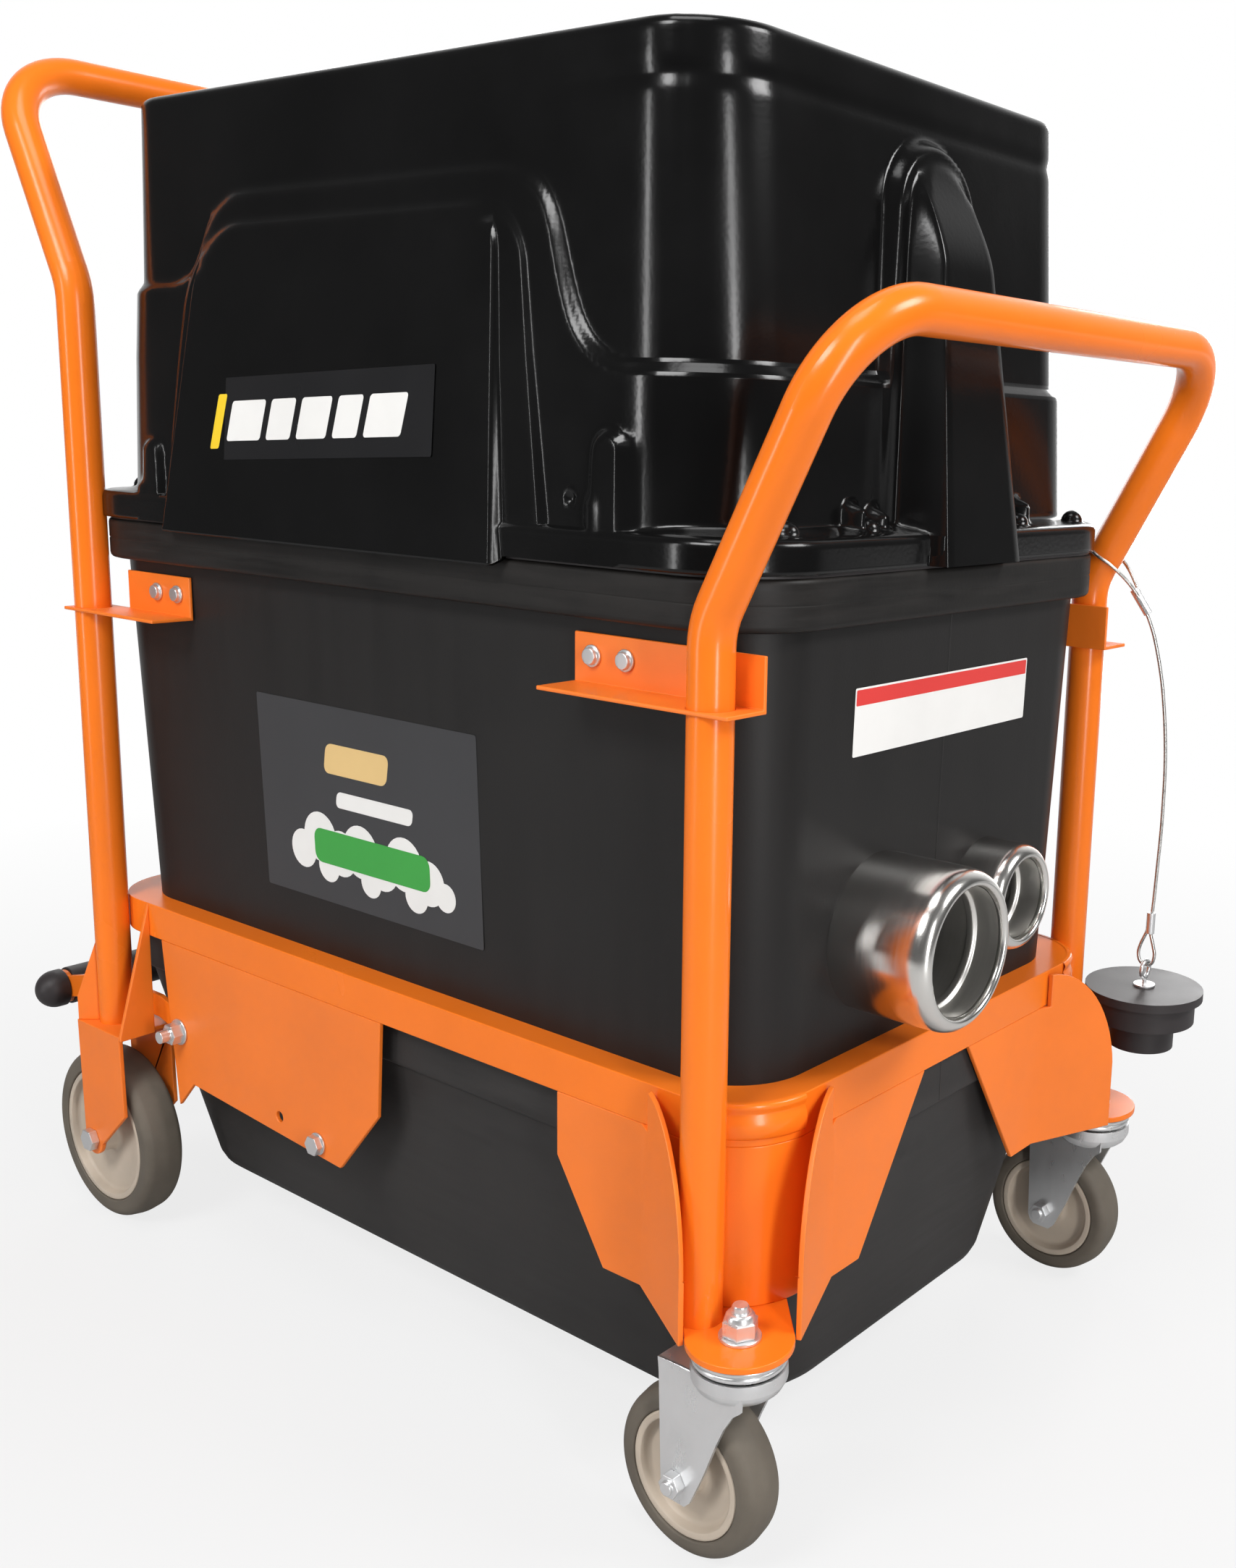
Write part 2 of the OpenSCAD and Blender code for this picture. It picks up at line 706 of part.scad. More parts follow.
// Tyre section with rounded shoulders
module tyre(r, w, hub_r) rotate([90, 0, 0]) rotate_extrude() {
    round_r = 9;
    difference() {
        union() {
            translate([hub_r + fit_gap, -w / 2]) square([r - hub_r - round_r - fit_gap, w]);
            translate([hub_r + fit_gap, -w / 2 + round_r]) square([r - hub_r - fit_gap, w - 2 * round_r]);
            for (s = [-1, 1]) translate([r - round_r, s * (w / 2 - round_r)]) circle(round_r);
        }
        translate([hub_r - w, -w]) square([w + fit_gap, 2 * w]);
    }
}

module rear_spot(s) translate([-rear_axle_x, s * rear_wheel_y, rear_r]) children();

module rear_hub() hub(rear_hub_r, rear_w, rear_axle_d / 2 + run_gap, rear_gap - 2 * face_gap);

module rear_hub_l() color(hub_beige) placed() rear_spot(1) rear_hub();

module rear_hub_r() color(hub_beige) placed() rear_spot(-1) rear_hub();

module rear_tyre_l() color(rubber_grey) placed() rear_spot(1) tyre(rear_r, rear_w, rear_hub_r);

module rear_tyre_r() color(rubber_grey) placed() rear_spot(-1) tyre(rear_r, rear_w, rear_hub_r);

// Casters

king_head_h = 7;
fork_front = 24;
fork_rear = 44;
fork_top_back = 52;
fork_top_len = 64;

module kingpins() color(zinc) placed() both_sides() translate([king_x, king_y, 0]) {
    head_z = fork_top_z - fork_t - face_gap - king_head_h;
    translate([0, 0, head_z]) cylinder(d = king_d, h = caster_plate_z + king_nut_h + 12 - head_z);
    translate([0, 0, head_z]) cylinder(d = king_d * 2, h = king_head_h);
    translate([0, 0, caster_plate_z]) cylinder(d = king_d * 2.1, h = washer_t);
    translate([0, 0, caster_plate_z + washer_t])
        cylinder(d = king_d * 1.6 / cos(30), h = king_nut_h, $fn = 6);
}

module caster_races() color(zinc) placed() both_sides() translate([king_x, king_y, race_z]) rotate_extrude()
    polygon([[king_d / 2 + fit_gap, race_h - 3], [race_r - 9, race_h - 3], [race_r - 9, 0], [race_r, 0],
        [race_r, race_h - 4], [race_r - 3, race_h], [king_d / 2 + fit_gap, race_h]]);

module caster_cheek() difference() {
    union() {
        polygon([
            [fork_front, fork_top_z], [-fork_rear, fork_top_z],
            [-caster_trail - axle_boss_r, caster_r], [-caster_trail + axle_boss_r, caster_r],
            [2, caster_r + fork_rear], [fork_front, fork_top_z - fork_front]
        ]);
        translate([-caster_trail, caster_r]) circle(axle_boss_r);
    }
    translate([-caster_trail, caster_r]) circle(d = caster_axle_d + 2 * fit_gap);
}

module caster_fork(s) translate([king_x, s * king_y, 0]) {
    for (y = [-fork_gap / 2 - fork_t, fork_gap / 2]) wall_xz(y, fork_t) caster_cheek();
    translate([0, 0, fork_top_z - fork_t]) difference() {
        linear_extrude(fork_t) {
            circle(race_r - 1);
            translate([-fork_top_back, -fork_gap / 2 - fork_t])
                square([fork_top_len, fork_gap + 2 * fork_t]);
        }
        translate([0, 0, -cut]) cylinder(r = king_d / 2 + run_gap, h = fork_t + 2 * cut);
    }
    translate([0, 0, fork_top_z]) difference() {
        cylinder(r = race_r - 2, h = race_z - face_gap - fork_top_z);
        translate([0, 0, -cut]) cylinder(r = race_r - 8, h = race_h);
    }
}

module caster_fork_l() color(zinc) placed() caster_fork(1);

module caster_fork_r() color(zinc) placed() caster_fork(-1);

module caster_spot(s) translate([king_x - caster_trail, s * king_y, caster_r]) children();

module caster_axle() axle_bolt(caster_axle_d, fork_gap / 2 + fork_t, 0);

module caster_axle_l() color(zinc) placed() caster_spot(1) caster_axle();

module caster_axle_r() color(zinc) placed() caster_spot(-1) caster_axle();

module caster_hub() hub(caster_hub_r, caster_w, caster_axle_d / 2 + run_gap, fork_gap - 2 * face_gap);

module caster_hub_l() color(hub_beige) placed() caster_spot(1) caster_hub();

module caster_hub_r() color(hub_beige) placed() caster_spot(-1) caster_hub();

module caster_tyre_l() color(rubber_grey) placed() caster_spot(1) tyre(caster_r, caster_w, caster_hub_r);

module caster_tyre_r() color(rubber_grey) placed() caster_spot(-1) tyre(caster_r, caster_w, caster_hub_r);

// Tub, deck and ports

module tub() color(tub_plastic) placed() difference() {
    union() {
        hull() {
            slab(tub_foot_l, tub_foot_w, tub_r + 1, tub_z0);
            slab(tub_top_len / 2, tub_top_wid / 2, tub_r + 2, tub_z1 - 0.02);
        }
        translate([0, 0, tub_z0 - tub_skirt]) linear_extrude(tub_skirt)
            rrect(open_lx - face_gap, open_wy - face_gap, tub_r - face_gap);
    }
    hull() {
        inner_r = tub_r - tub_wall;
        slab(open_lx - tub_wall, open_wy - tub_wall, inner_r, tub_z0 - tub_skirt - cut);
        slab(tub_top_len / 2 - tub_wall, tub_top_wid / 2 - tub_wall, inner_r, tub_z1 + cut);
    }
    translate([port_wall_x, large_y, port_z]) rotate([0, 90, 0])
        cylinder(r = large_r + fit_gap, h = 6 * tub_wall, center = true);
    translate([port_wall_x, small_y, port_z]) rotate([0, 90, 0])
        cylinder(r = small_r + fit_gap, h = 6 * tub_wall, center = true);
    both_sides() {
        for (x = bracket_screw_xs(front_bracket_x0)) bracket_screw_hole(x);
        for (x = bracket_screw_xs(rear_bracket_x0)) bracket_screw_hole(-x);
    }
}

module bracket_screw_hole(x) translate([x, 0, bracket_screw_z])
    rod_y(bracket_screw_d, bracket_y - 30, bracket_y + cut);

// Double-walled tube with a full round lip, its axis along X
module port(r, bore, out) rotate([0, 90, 0]) rotate_extrude() {
    lip = (r - bore) / 2;
    difference() {
        union() {
            translate([bore, -port_in]) square([2 * lip, out + port_in - lip]);
            translate([bore + lip, out - lip]) circle(lip);
        }
        translate([bore + port_wall, -port_in - cut])
            square([2 * (lip - port_wall), out + port_in - lip + cut]);
        translate([bore + lip, out - lip]) circle(lip - port_wall);
    }
}

module port_large() color(stainless) placed() translate([port_wall_x, large_y, port_z])
    port(large_r, large_bore_r, large_out);

module port_small() color(stainless) placed() translate([port_wall_x, small_y, port_z])
    port(small_r, small_bore_r, small_out);

module screw_holes(z, h, d) for (x = [-screw_x, screw_x], y = screw_ys)
    translate([x, y, z]) cylinder(d = d, h = h);

module deck() color(black_plastic) placed() difference() {
    translate([0, 0, tub_z1]) linear_extrude(deck_t) rrect(deck_len / 2, deck_wid / 2, deck_r);
    translate([0, 0, tub_z1 - cut]) linear_extrude(deck_t - deck_skin + cut) difference() {
        rrect(tub_top_len / 2 - 2 * tub_wall, tub_top_wid / 2 - 2 * tub_wall, tub_r - tub_wall);
        for (x = [-motor_x, motor_x]) translate([x, 0]) circle(filter_r + 10);
        for (x = [-screw_x, screw_x], y = screw_ys) translate([x, y]) circle(deck_screw_d * 1.5);
    }
    for (x = [-motor_x, motor_x]) translate([x, 0, tub_z1 - cut])
        cylinder(r = intake_r, h = deck_t + 2 * cut);
    screw_holes(tub_z1 + 8, deck_t, deck_screw_d);
}

deck_skin = 6;
intake_r = 30;
seal_w = 14;
seal_in = 2;

module deck_seal() color(rubber_black) placed() translate([0, 0, deck_z1]) linear_extrude(seal_t)
    difference() {
        rrect(deck_len / 2 - seal_in, deck_wid / 2 - seal_in, deck_r - seal_in);
        rrect(deck_len / 2 - seal_w, deck_wid / 2 - hood_wall - seal_in, deck_r - seal_w);
    }

module deck_screw() {
    z1 = hood_z + skirt_h;
    translate([0, 0, tub_z1 + 10]) cylinder(d = deck_screw_d - 2 * fit_gap, h = z1 - tub_z1 - 10);
    translate([0, 0, z1]) cylinder(d = deck_screw_d * 2.2, h = washer_t);
    translate([0, 0, z1 + washer_t]) cylinder(d = deck_screw_d * 1.7 / cos(30), h = 6, $fn = 6);
}

module deck_screws() color(zinc) placed() for (x = [-screw_x, screw_x], y = screw_ys)
    translate([x, y, 0]) deck_screw();

// Hood

roof_r = 62;
roof_edge = 8;
end_draft = 14;
side_draft = 5;
shoulder_l = roof_l + end_draft;
shoulder_w = roof_w + side_draft;
shoulder_r = roof_r + 2;
foot_draft = 4;
shoulder_slope = 10;
tower_step = 16;
tower_band = 31;
tower_narrow = 17;
tower_root = 30;
panel_x = -36;
panel_narrow = 48;
panel_corner = 22;
arch_side = 26;
arch_top = 14;
arch_corner = 60;
arch_root = 12;

module hood_lower(off, z0) hull() {
    l = shoulder_l + ledge - off;
    w = shoulder_w + ledge - off;
    slab(l + foot_draft, w + foot_draft, shoulder_r + ledge - off, z0);
    slab(l, w, shoulder_r + foot_draft - off, shoulder_z - shoulder_slope);
    slab(shoulder_l + 1 - off, shoulder_w + 1 - off, shoulder_r - off, shoulder_z - off);
}

module hood_upper(off, z0) hull() {
    slab(shoulder_l - off, shoulder_w - off, shoulder_r - off, z0);
    for (e = [[0, 1], [0.3, 0.35], [1, 0]]) {
        inset = roof_edge * e[0] + off;
        z = roof_z - roof_edge * e[1] - off * (1 - e[1]);
        slab(roof_l - inset, roof_w - inset, roof_r - inset, z, roof_tilt);
    }
}

// Tombstone outline, foot at v = 0
module tombstone(w, h, narrow) {
    top_r = w / 2 - narrow;
    polygon([[-w / 2, 0], [w / 2, 0], [top_r, h - top_r], [-top_r, h - top_r]]);
    translate([0, h - top_r]) circle(top_r);
}

// Stepped tower that leans on the end wall, in front of the roof's edge
module tower(off) translate([roof_l + tower_out, 0, hood_z]) rotate([0, -tower_lean, 0]) {
    root = tower_out + tower_root;
    wall_yz(-root, root - off)
        tombstone(tower_w - 2 * off, tower_top - tower_step - off, tower_narrow);
    wall_yz(-root, root - tower_step - off)
        tombstone(tower_w + 2 * tower_band - 2 * off, tower_top - off, tower_narrow);
}

// Panel that leans on the side wall, narrower at the top
module panel(off) translate([panel_x, shoulder_w + ledge + panel_out, hood_z]) rotate([panel_lean, 0, 0]) {
    half = panel_len / 2 - off;
    top = half - panel_narrow;
    turn = top - panel_corner;
    h = panel_h - off;
    side_h = h - panel_corner;
    root = panel_out + tower_root;
    wall_xz(-root, root - off) {
        polygon([[-half, 0], [half, 0], [top, side_h], [-top, side_h]]);
        translate([-turn, 0]) square([2 * turn, h]);
        for (s = [-1, 1]) translate([s * turn, side_h]) circle(panel_corner);
    }
}

// Raised field of the side wall, from the shoulder up and over the panel
module arch(off) translate([panel_x, 0, hood_z]) wall_xz(shoulder_w - arch_root, arch_root + ledge - off) {
    half = panel_len / 2 + arch_side - off;
    turn = half - arch_corner;
    h = panel_h + arch_top - off;
    side_h = h - arch_corner;
    translate([-half, 0]) square([2 * half, side_h]);
    translate([-turn, 0]) square([2 * turn, h]);
    for (s = [-1, 1]) translate([s * turn, side_h]) circle(arch_corner);
}

module hood_body(off) {
    hood_lower(off, hood_z - (off > 0 ? cut : 0));
    hood_upper(off, shoulder_z - 30);
    both_sides() panel(off);
    both_sides() arch(off);
    tower(off);
    mirror([1, 0, 0]) tower(off);
}

module hood() color(black_plastic) placed() difference() {
    union() {
        translate([hood_shift, 0, 0]) hood_body(0);
        translate([0, 0, hood_z]) linear_extrude(skirt_h) rrect(deck_len / 2, deck_wid / 2, deck_r);
    }
    translate([hood_shift, 0, 0]) hood_body(hood_wall);
    translate([0, 0, hood_z - cut]) linear_extrude(skirt_h - hood_wall + cut)
        rrect(deck_len / 2 - hood_wall, deck_wid / 2 - hood_wall, deck_r - hood_wall);
    screw_holes(hood_z, skirt_h + cut, deck_screw_d);
    translate([-ring_len, -ring_wid, hood_z - deck_t]) cube([2 * ring_len, 2 * ring_wid, deck_t]);
    on_rear_face() translate([-box_room, -switch_w / 2 + switch_lip, switch_v - switch_h / 2 + switch_lip])
        cube([2 * box_room, switch_w - 2 * switch_lip, switch_h - 2 * switch_lip]);
}

// Rear face of the hood's rear tower: X points out, Z runs up the slope
switch_w = 84;
switch_h = 92;
switch_v = 170;
switch_t = 3;
switch_lip = 6;
box_room = 12;
rocker_w = 22;
rocker_h = 30;
rocker_y = 19;
rocker_v = switch_v + 20;
rocker_pin_d = 3;
rocker_pin = 3;
rocker_swing = 1.2;
rocker_back = 4;
rocker_face = 5;
rocker_hollow_r = 36;
inlet_w = 48;
inlet_h = 28;
inlet_v = switch_v - 26;
inlet_lip = 4;
socket_w = 26;
socket_h = 18;
socket_depth = 13;
socket_wall = 4;
blade_places = [[-7, -3], [0, 3], [7, -3]];

module on_rear_face() translate([hood_shift - roof_l - tower_out, 0, hood_z]) rotate([0, tower_lean, 0])
    mirror([1, 0, 0]) children();

module switch_plate() color(black_plastic) placed() on_rear_face() difference() {
    translate([0, -switch_w / 2, switch_v - switch_h / 2]) cube([switch_t, switch_w, switch_h]);
    for (s = [-1, 1]) translate([0, s * rocker_y, rocker_v]) {
        hole_w = rocker_w + 2 * face_gap;
        hole_h = rocker_h + 2 * rocker_swing;
        translate([-cut, -hole_w / 2, -hole_h / 2]) cube([switch_t + 2 * cut, hole_w, hole_h]);
        pin_end = rocker_w / 2 + rocker_pin + cut;
        translate([switch_t / 2, 0, 0]) rod_y(rocker_pin_d + 2 * run_gap, -pin_end, pin_end);
    }
    translate([-cut, -inlet_w / 2, inlet_v - inlet_h / 2]) cube([switch_t + 2 * cut, inlet_w, inlet_h]);
}

// Rocker with a hollowed face, turning on two stub pins in the plate
module rocker(s) on_rear_face() translate([switch_t / 2, s * rocker_y, rocker_v]) {
    pin_end = rocker_w / 2 + rocker_pin;
    difference() {
        translate([-rocker_back, -rocker_w / 2, -rocker_h / 2])
            cube([rocker_back + rocker_face, rocker_w, rocker_h]);
        translate([rocker_hollow_r + rocker_back, 0, 0]) rod_y(2 * rocker_hollow_r, -rocker_w, rocker_w);
    }
    rod_y(rocker_pin_d, -pin_end, pin_end);
}

module rocker_l() color(switch_red) placed() rocker(1);

module rocker_r() color(switch_red) placed() rocker(-1);

module power_inlet() color(black_plastic) placed() on_rear_face() translate([0, 0, inlet_v]) {
    body_w = inlet_w - 2 * fit_gap;
    body_h = inlet_h - 2 * fit_gap;
    body_back = socket_depth - switch_t + socket_wall;
    difference() {
        union() {
            translate([-body_back, -body_w / 2, -body_h / 2]) cube([body_back + switch_t, body_w, body_h]);
            translate([switch_t, -inlet_w / 2 - inlet_lip, -inlet_h / 2 - inlet_lip])
                cube([washer_t, inlet_w + 2 * inlet_lip, inlet_h + 2 * inlet_lip]);
        }
        translate([switch_t - socket_depth, -socket_w / 2, -socket_h / 2])
            cube([2 * socket_depth, socket_w, socket_h]);
    }
    for (p = blade_places) translate([switch_t - socket_depth - cut, p[0] - 1, p[1] - 2.5]) cube([7, 2, 5]);
}

// Suction motors and filters

module motor_spot(s) translate([s * motor_x, 0, motor_z]) children();

module motor_gaskets() color(rubber_black) placed() for (s = [-1, 1]) translate([s * motor_x, 0, deck_z1])
    difference() {
        cylinder(r = fan_r - 8, h = motor_z - deck_z1);
        translate([0, 0, -cut]) cylinder(r = intake_r + 4, h = motor_z - deck_z1 + 2 * cut);
    }

module motor_shell() difference() {
    union() {
        cylinder(r = fan_r, h = fan_h);
        cylinder(r = barrel_r, h = motor_h);
    }
    translate([0, 0, -cut]) cylinder(r = intake_r - 2, h = shell_wall + 2 * cut);
    translate([0, 0, shell_wall]) cylinder(r = fan_r - shell_wall, h = fan_h - 2 * shell_wall);
    translate([0, 0, fan_h - shell_wall - cut]) cylinder(d = bearing_d, h = web_t + shell_wall + 2 * cut);
    translate([0, 0, fan_h + web_t])
        cylinder(r = barrel_r - shell_wall, h = top_seat_z - fan_h - web_t - shell_wall);
    translate([0, 0, top_seat_z - shell_wall - cut])
        cylinder(d = bearing_d, h = bearing_w + shell_wall + cut);
    for (a = [0:60:300]) rotate(a)
        translate([barrel_r - 2 * shell_wall, -slot_w / 2, fan_h + web_t + 2 * shell_wall])
        cube([slot_h, slot_w, slot_h]);
    for (a = [30:120:270]) rotate(a)
        translate([fan_r - 2 * shell_wall, -outlet_w / 2, (fan_h - outlet_h) / 2])
        cube([outlet_w, outlet_w, outlet_h]);
}

module motor_front() color(zinc) placed() motor_spot(1) motor_shell();

module motor_rear() color(zinc) placed() motor_spot(-1) motor_shell();

lower_bearing_z = fan_h + web_t - bearing_w - 1;

module bearings() color(zinc) placed() for (s = [-1, 1], z = [lower_bearing_z, top_seat_z]) motor_spot(s)
    translate([0, 0, z]) difference() {
        cylinder(d = bearing_d, h = bearing_w);
        translate([0, 0, -cut]) cylinder(r = shaft_d / 2 + run_gap, h = bearing_w + 2 * cut);
    }

armature_h = top_seat_z - shell_wall - armature_z - 4;

module rotor() {
    translate([0, 0, 8]) cylinder(d = shaft_d, h = top_seat_z + bearing_w - 9);
    translate([0, 0, lower_bearing_z + bearing_w + face_gap])
        cylinder(d = shaft_d + 8, h = armature_z - lower_bearing_z - bearing_w);
    translate([0, 0, armature_z]) cylinder(r = barrel_r - shell_wall - 9, h = armature_h);
}

module rotor_front() color(copper) placed() motor_spot(1) rotor();

module rotor_rear() color(copper) placed() motor_spot(-1) rotor();

blade_h = 22;
blade_t = 2;
impeller_z = 10;

module impeller() translate([0, 0, impeller_z]) difference() {
    rim_r = fan_r - shell_wall - 5;
    union() {
        translate([0, 0, blade_h]) cylinder(r = rim_r, h = blade_t);
        cylinder(d = shaft_d + 14, h = blade_h + blade_t);
        for (i = [0:blades - 1]) rotate(i * 360 / blades)
            translate([shaft_d / 2 + 4, -blade_t / 2, blade_t])
            cube([rim_r - shaft_d / 2 - 9, blade_t, blade_h - blade_t / 2]);
    }
    translate([0, 0, -cut]) cylinder(r = shaft_d / 2 + fit_gap, h = blade_h + blade_t + 2 * cut);
}

module impeller_front() color(zinc) placed() motor_spot(1) impeller();

module impeller_rear() color(zinc) placed() motor_spot(-1) impeller();

filter_cap_t = 12;
pleat_h = 3;
pleats = 36;
filter_depth = 25;

module filter(s) placed() translate([s * motor_x, 0, tub_z1 - filter_cap_t - filter_len]) difference() {
    out_r = filter_r - pleat_h;
    cylinder(r = out_r, h = filter_len);
    translate([0, 0, -cut]) cylinder(r = out_r - filter_depth, h = filter_len + 2 * cut);
    for (i = [0:pleats - 1]) rotate(i * 360 / pleats) translate([out_r, 0, -cut])
        cylinder(r = pleat_h + 1, h = filter_len + 2 * cut, $fn = 4);
}

module filter_front() color(paper) filter(1);

module filter_rear() color(paper) filter(-1);

module filter_caps() color(black_plastic) placed() for (s = [-1, 1]) translate([s * motor_x, 0, 0]) {
    translate([0, 0, tub_z1 - filter_cap_t]) difference() {
        cylinder(r = filter_r + 8, h = filter_cap_t);
        translate([0, 0, -cut]) cylinder(r = intake_r + 4, h = filter_cap_t + 2 * cut);
    }
    translate([0, 0, tub_z1 - 2 * filter_cap_t - filter_len]) cylinder(r = filter_r, h = filter_cap_t);
}

// Dust bin and its lift

module bin_shape(off, z0, z1) hull() {
    slab(bin_foot_l - 14 - off, bin_foot_w - 14 - off, bin_foot_r - 14 - off, z0);
    slab(bin_foot_l - 4 - off, bin_foot_w - 4 - off, bin_foot_r - 4 - off, z0 + 5);
    slab(bin_foot_l + 1 - off, bin_foot_w + 1 - off, bin_foot_r - off, z0 + 15);
    slab(bin_top_l - off, bin_top_w - off, rim_r - off, z1);
}

module dust_bin() color(tub_plastic) placed() difference() {
    union() {
        bin_shape(0, bin_z, rim_z);
        translate([0, 0, rim_z]) linear_extrude(rim_top - rim_z) rrect(rim_l, rim_wy, rim_r);
    }
    bin_shape(bin_wall, bin_z + bin_wall, rim_z + cut);
    mouth_in = rim_w + bin_wall;
    translate([0, 0, rim_z]) linear_extrude(rim_top)
        rrect(rim_l - mouth_in, rim_wy - mouth_in, rim_r - mouth_in);
}

module bin_seal() color(rubber_black) placed() translate([0, 0, ring_z - ring_t - bin_seal_t])
    linear_extrude(bin_seal_t) difference() {
        rrect(ring_lx - ring_t - 1, ring_wy - ring_t - 1, ring_r - ring_t - 1);
        rrect(open_lx + 1, open_wy + 1, tub_r);
    }

module lever_arm() difference() {
    wall_xz(arm_in, arm_t) {
        strip([[lift_x, lift_pin_z - 4], [-pivot_x, pivot_z], [-pivot_x - 46, arm_knee_z],
            [-arm_knee_x, arm_knee_z], [-grip_x, grip_z]], arm_w);
        translate([lift_x, lift_pin_z - 4]) circle(arm_w / 2 + 2);
        translate([-grip_x, grip_z]) circle(grip_d / 2 - 2);
    }
    translate([-pivot_x, 0, pivot_z]) rod_y(pivot_d + 2 * run_gap, arm_in - cut, arm_in + arm_t + cut);
}

module lift_bail() color(paint) placed() {
    both_sides() {
        lever_arm();
        translate([lift_x, 0, lift_pin_z]) rod_y(lift_pin_d, bin_top_w + 1.6, arm_mid);
    }
    translate([-grip_x, 0, grip_z]) rod_y(bar_d, -arm_in - arm_t - 16, arm_in + arm_t + 16);
}

module bail_grip() color(rubber_black) placed() translate([-grip_x, 0, grip_z]) {
    difference() {
        rod_y(grip_d, -arm_in + face_gap, arm_in - face_gap);
        rod_y(bar_d + 2 * fit_gap, -arm_in, arm_in);
    }
    both_sides() difference() {
        union() {
            rod_y(grip_d, arm_in + arm_t + face_gap, arm_in + arm_t + 8);
            intersection() {
                translate([0, arm_in + arm_t + 8, 0]) sphere(d = grip_d);
                translate([0, arm_in + arm_t + 8, 0]) rod_y(2 * grip_d, 0, grip_d);
            }
        }
        rod_y(bar_d + 2 * fit_gap, 0, arm_in + arm_t + 16 + face_gap);
    }
}

// Stopper on its wire rope, hung from the left front handle

stopper_x = leg_x + 64;
stopper_y = leg_y + 34;
eye_r = 8;
eye_wire_d = 4;
eye_stem = 18;
eye_z = stopper_z + 2 * eye_r;
ferrule_d = 8;
flange_t = 8;
large_step = 22;
small_step = 26;
large_plug_d = 2 * large_bore_r - 2;
small_plug_d = 2 * small_bore_r - 6;

module stopper() color(rubber_black) placed() translate([stopper_x, stopper_y, stopper_z]) difference() {
    union() {
        translate([0, 0, -flange_t]) cylinder(d = stopper_d, h = flange_t);
        translate([0, 0, -flange_t - large_step]) cylinder(d = large_plug_d, h = large_step + cut);
        translate([0, 0, -flange_t - large_step - small_step])
            cylinder(d = small_plug_d, h = small_step + cut);
    }
    translate([0, 0, -eye_stem - 2]) cylinder(d = eye_wire_d + 2 * fit_gap, h = eye_stem + 4);
}

module stopper_eye() color(zinc) placed() translate([stopper_x, stopper_y, 0]) {
    translate([0, 0, stopper_z - eye_stem])
        cylinder(d = eye_wire_d, h = eye_z - eye_r - stopper_z + eye_stem);
    translate([0, 0, stopper_z]) cylinder(d = eye_wire_d * 5, h = washer_t);
    translate([0, 0, eye_z]) rotate([0, 90, 0]) rotate_extrude()
        translate([eye_r, 0]) circle(d = eye_wire_d);
    ferrule(rope_hook + [39, 7, 11], rope_hook + [52, 12, -10]);
    ferrule(rope_eye + [2, 0, 55], rope_eye + [2, 0, 35]);
}

module ferrule(a, b) {
    run = b - a;
    translate([a[0] - stopper_x, a[1] - stopper_y, a[2]])
        rotate([0, acos(run[2] / norm(run)), atan2(run[1], run[0])]) cylinder(d = ferrule_d, h = norm(run));
}

// Route of the rope: round the leg, through a ferrule, down in a bow, and round the eye
rope_hook = [leg_x, leg_y, front_bar_z - handle_rise];
rope_eye = [stopper_x, stopper_y, eye_z];
rope_loop = [
    [47, 13, -2], [36, 16, 15], [26, 18, 29], [12, 19, 42], [2, 12, 48], [-3, 0, 51], [3, -14, 47],
    [15, -20, 40], [26, -15, 32], [36, -3, 19], [44, 6, 5], [51, 11, -10]
];
rope_bow = [13, 5.5, 0];
rope_bow_at = [0.09, 0.25, 0.46, 0.68, 0.86];
rope_end = [
    [3, 0, 58], [1, 0, 44], [-2, 0, 34], [-6, 0, 24], [-8, 0, 15], [-6, 0, 7], [0, 0, 4], [6, 0, 7],
    [8, 0, 15], [6, 0, 24], [3, 0, 34], [3, 0, 40]
];
rope_from = rope_hook + rope_loop[len(rope_loop) - 1];
rope_to = rope_eye + rope_end[0];
rope_route = concat(
    [for (p = rope_loop) rope_hook + p],
    [for (t = rope_bow_at) rope_from + (rope_to - rope_from) * t + rope_bow * sin(180 * pow(t, 0.75))],
    [for (p = rope_end) rope_eye + p]
);
rope_sides = 8;
rope_steps = 2;

function unit(v) = v / norm(v);
function route_at(i) = rope_route[max(0, min(len(rope_route) - 1, i))];
function blend(a, b, c, d, t) = ((2 * b) + (c - a) * t + (2 * a - 5 * b + 4 * c - d) * t * t
    + (3 * b - a - 3 * c + d) * t * t * t) / 2;
rope_points = concat(
    [for (i = [0:len(rope_route) - 2], k = [0:rope_steps - 1])
        blend(route_at(i - 1), route_at(i), route_at(i + 1), route_at(i + 2), k / rope_steps)],
    [route_at(len(rope_route) - 1)]
);
function tangent(p, i) = unit(p[min(i + 1, len(p) - 1)] - p[max(i - 1, 0)]);
function square_to(n, t) = unit(n - (n * t) * t);
function normals(p, i, n) = i >= len(p) ? [] :
    let (m = square_to(n, tangent(p, i))) concat([m], normals(p, i + 1, m));

module rope(p, d) {
    n = normals(p, 0, [0.3, 0.2, 1]);
    k = rope_sides;
    points = [for (i = [0:len(p) - 1], j = [0:k - 1])
        let (b = cross(tangent(p, i), n[i]), a = j * 360 / k)
        p[i] + d / 2 * (cos(a) * n[i] + sin(a) * b)];
    sides = [for (i = [0:len(p) - 2], j = [0:k - 1], h = [0, 1])
        let (a = i * k + j, b = i * k + (j + 1) % k) h == 0 ? [a, a + k, b] : [b, a + k, b + k]];
    last = (len(p) - 1) * k;
    ends = [for (j = [1:k - 2], h = [0, 1]) h == 0 ? [0, j, j + 1] : [last, last + j + 1, last + j]];
    polyhedron(points, concat(sides, ends));
}

module lanyard() color(stainless) placed() rope(rope_points, rope_d);

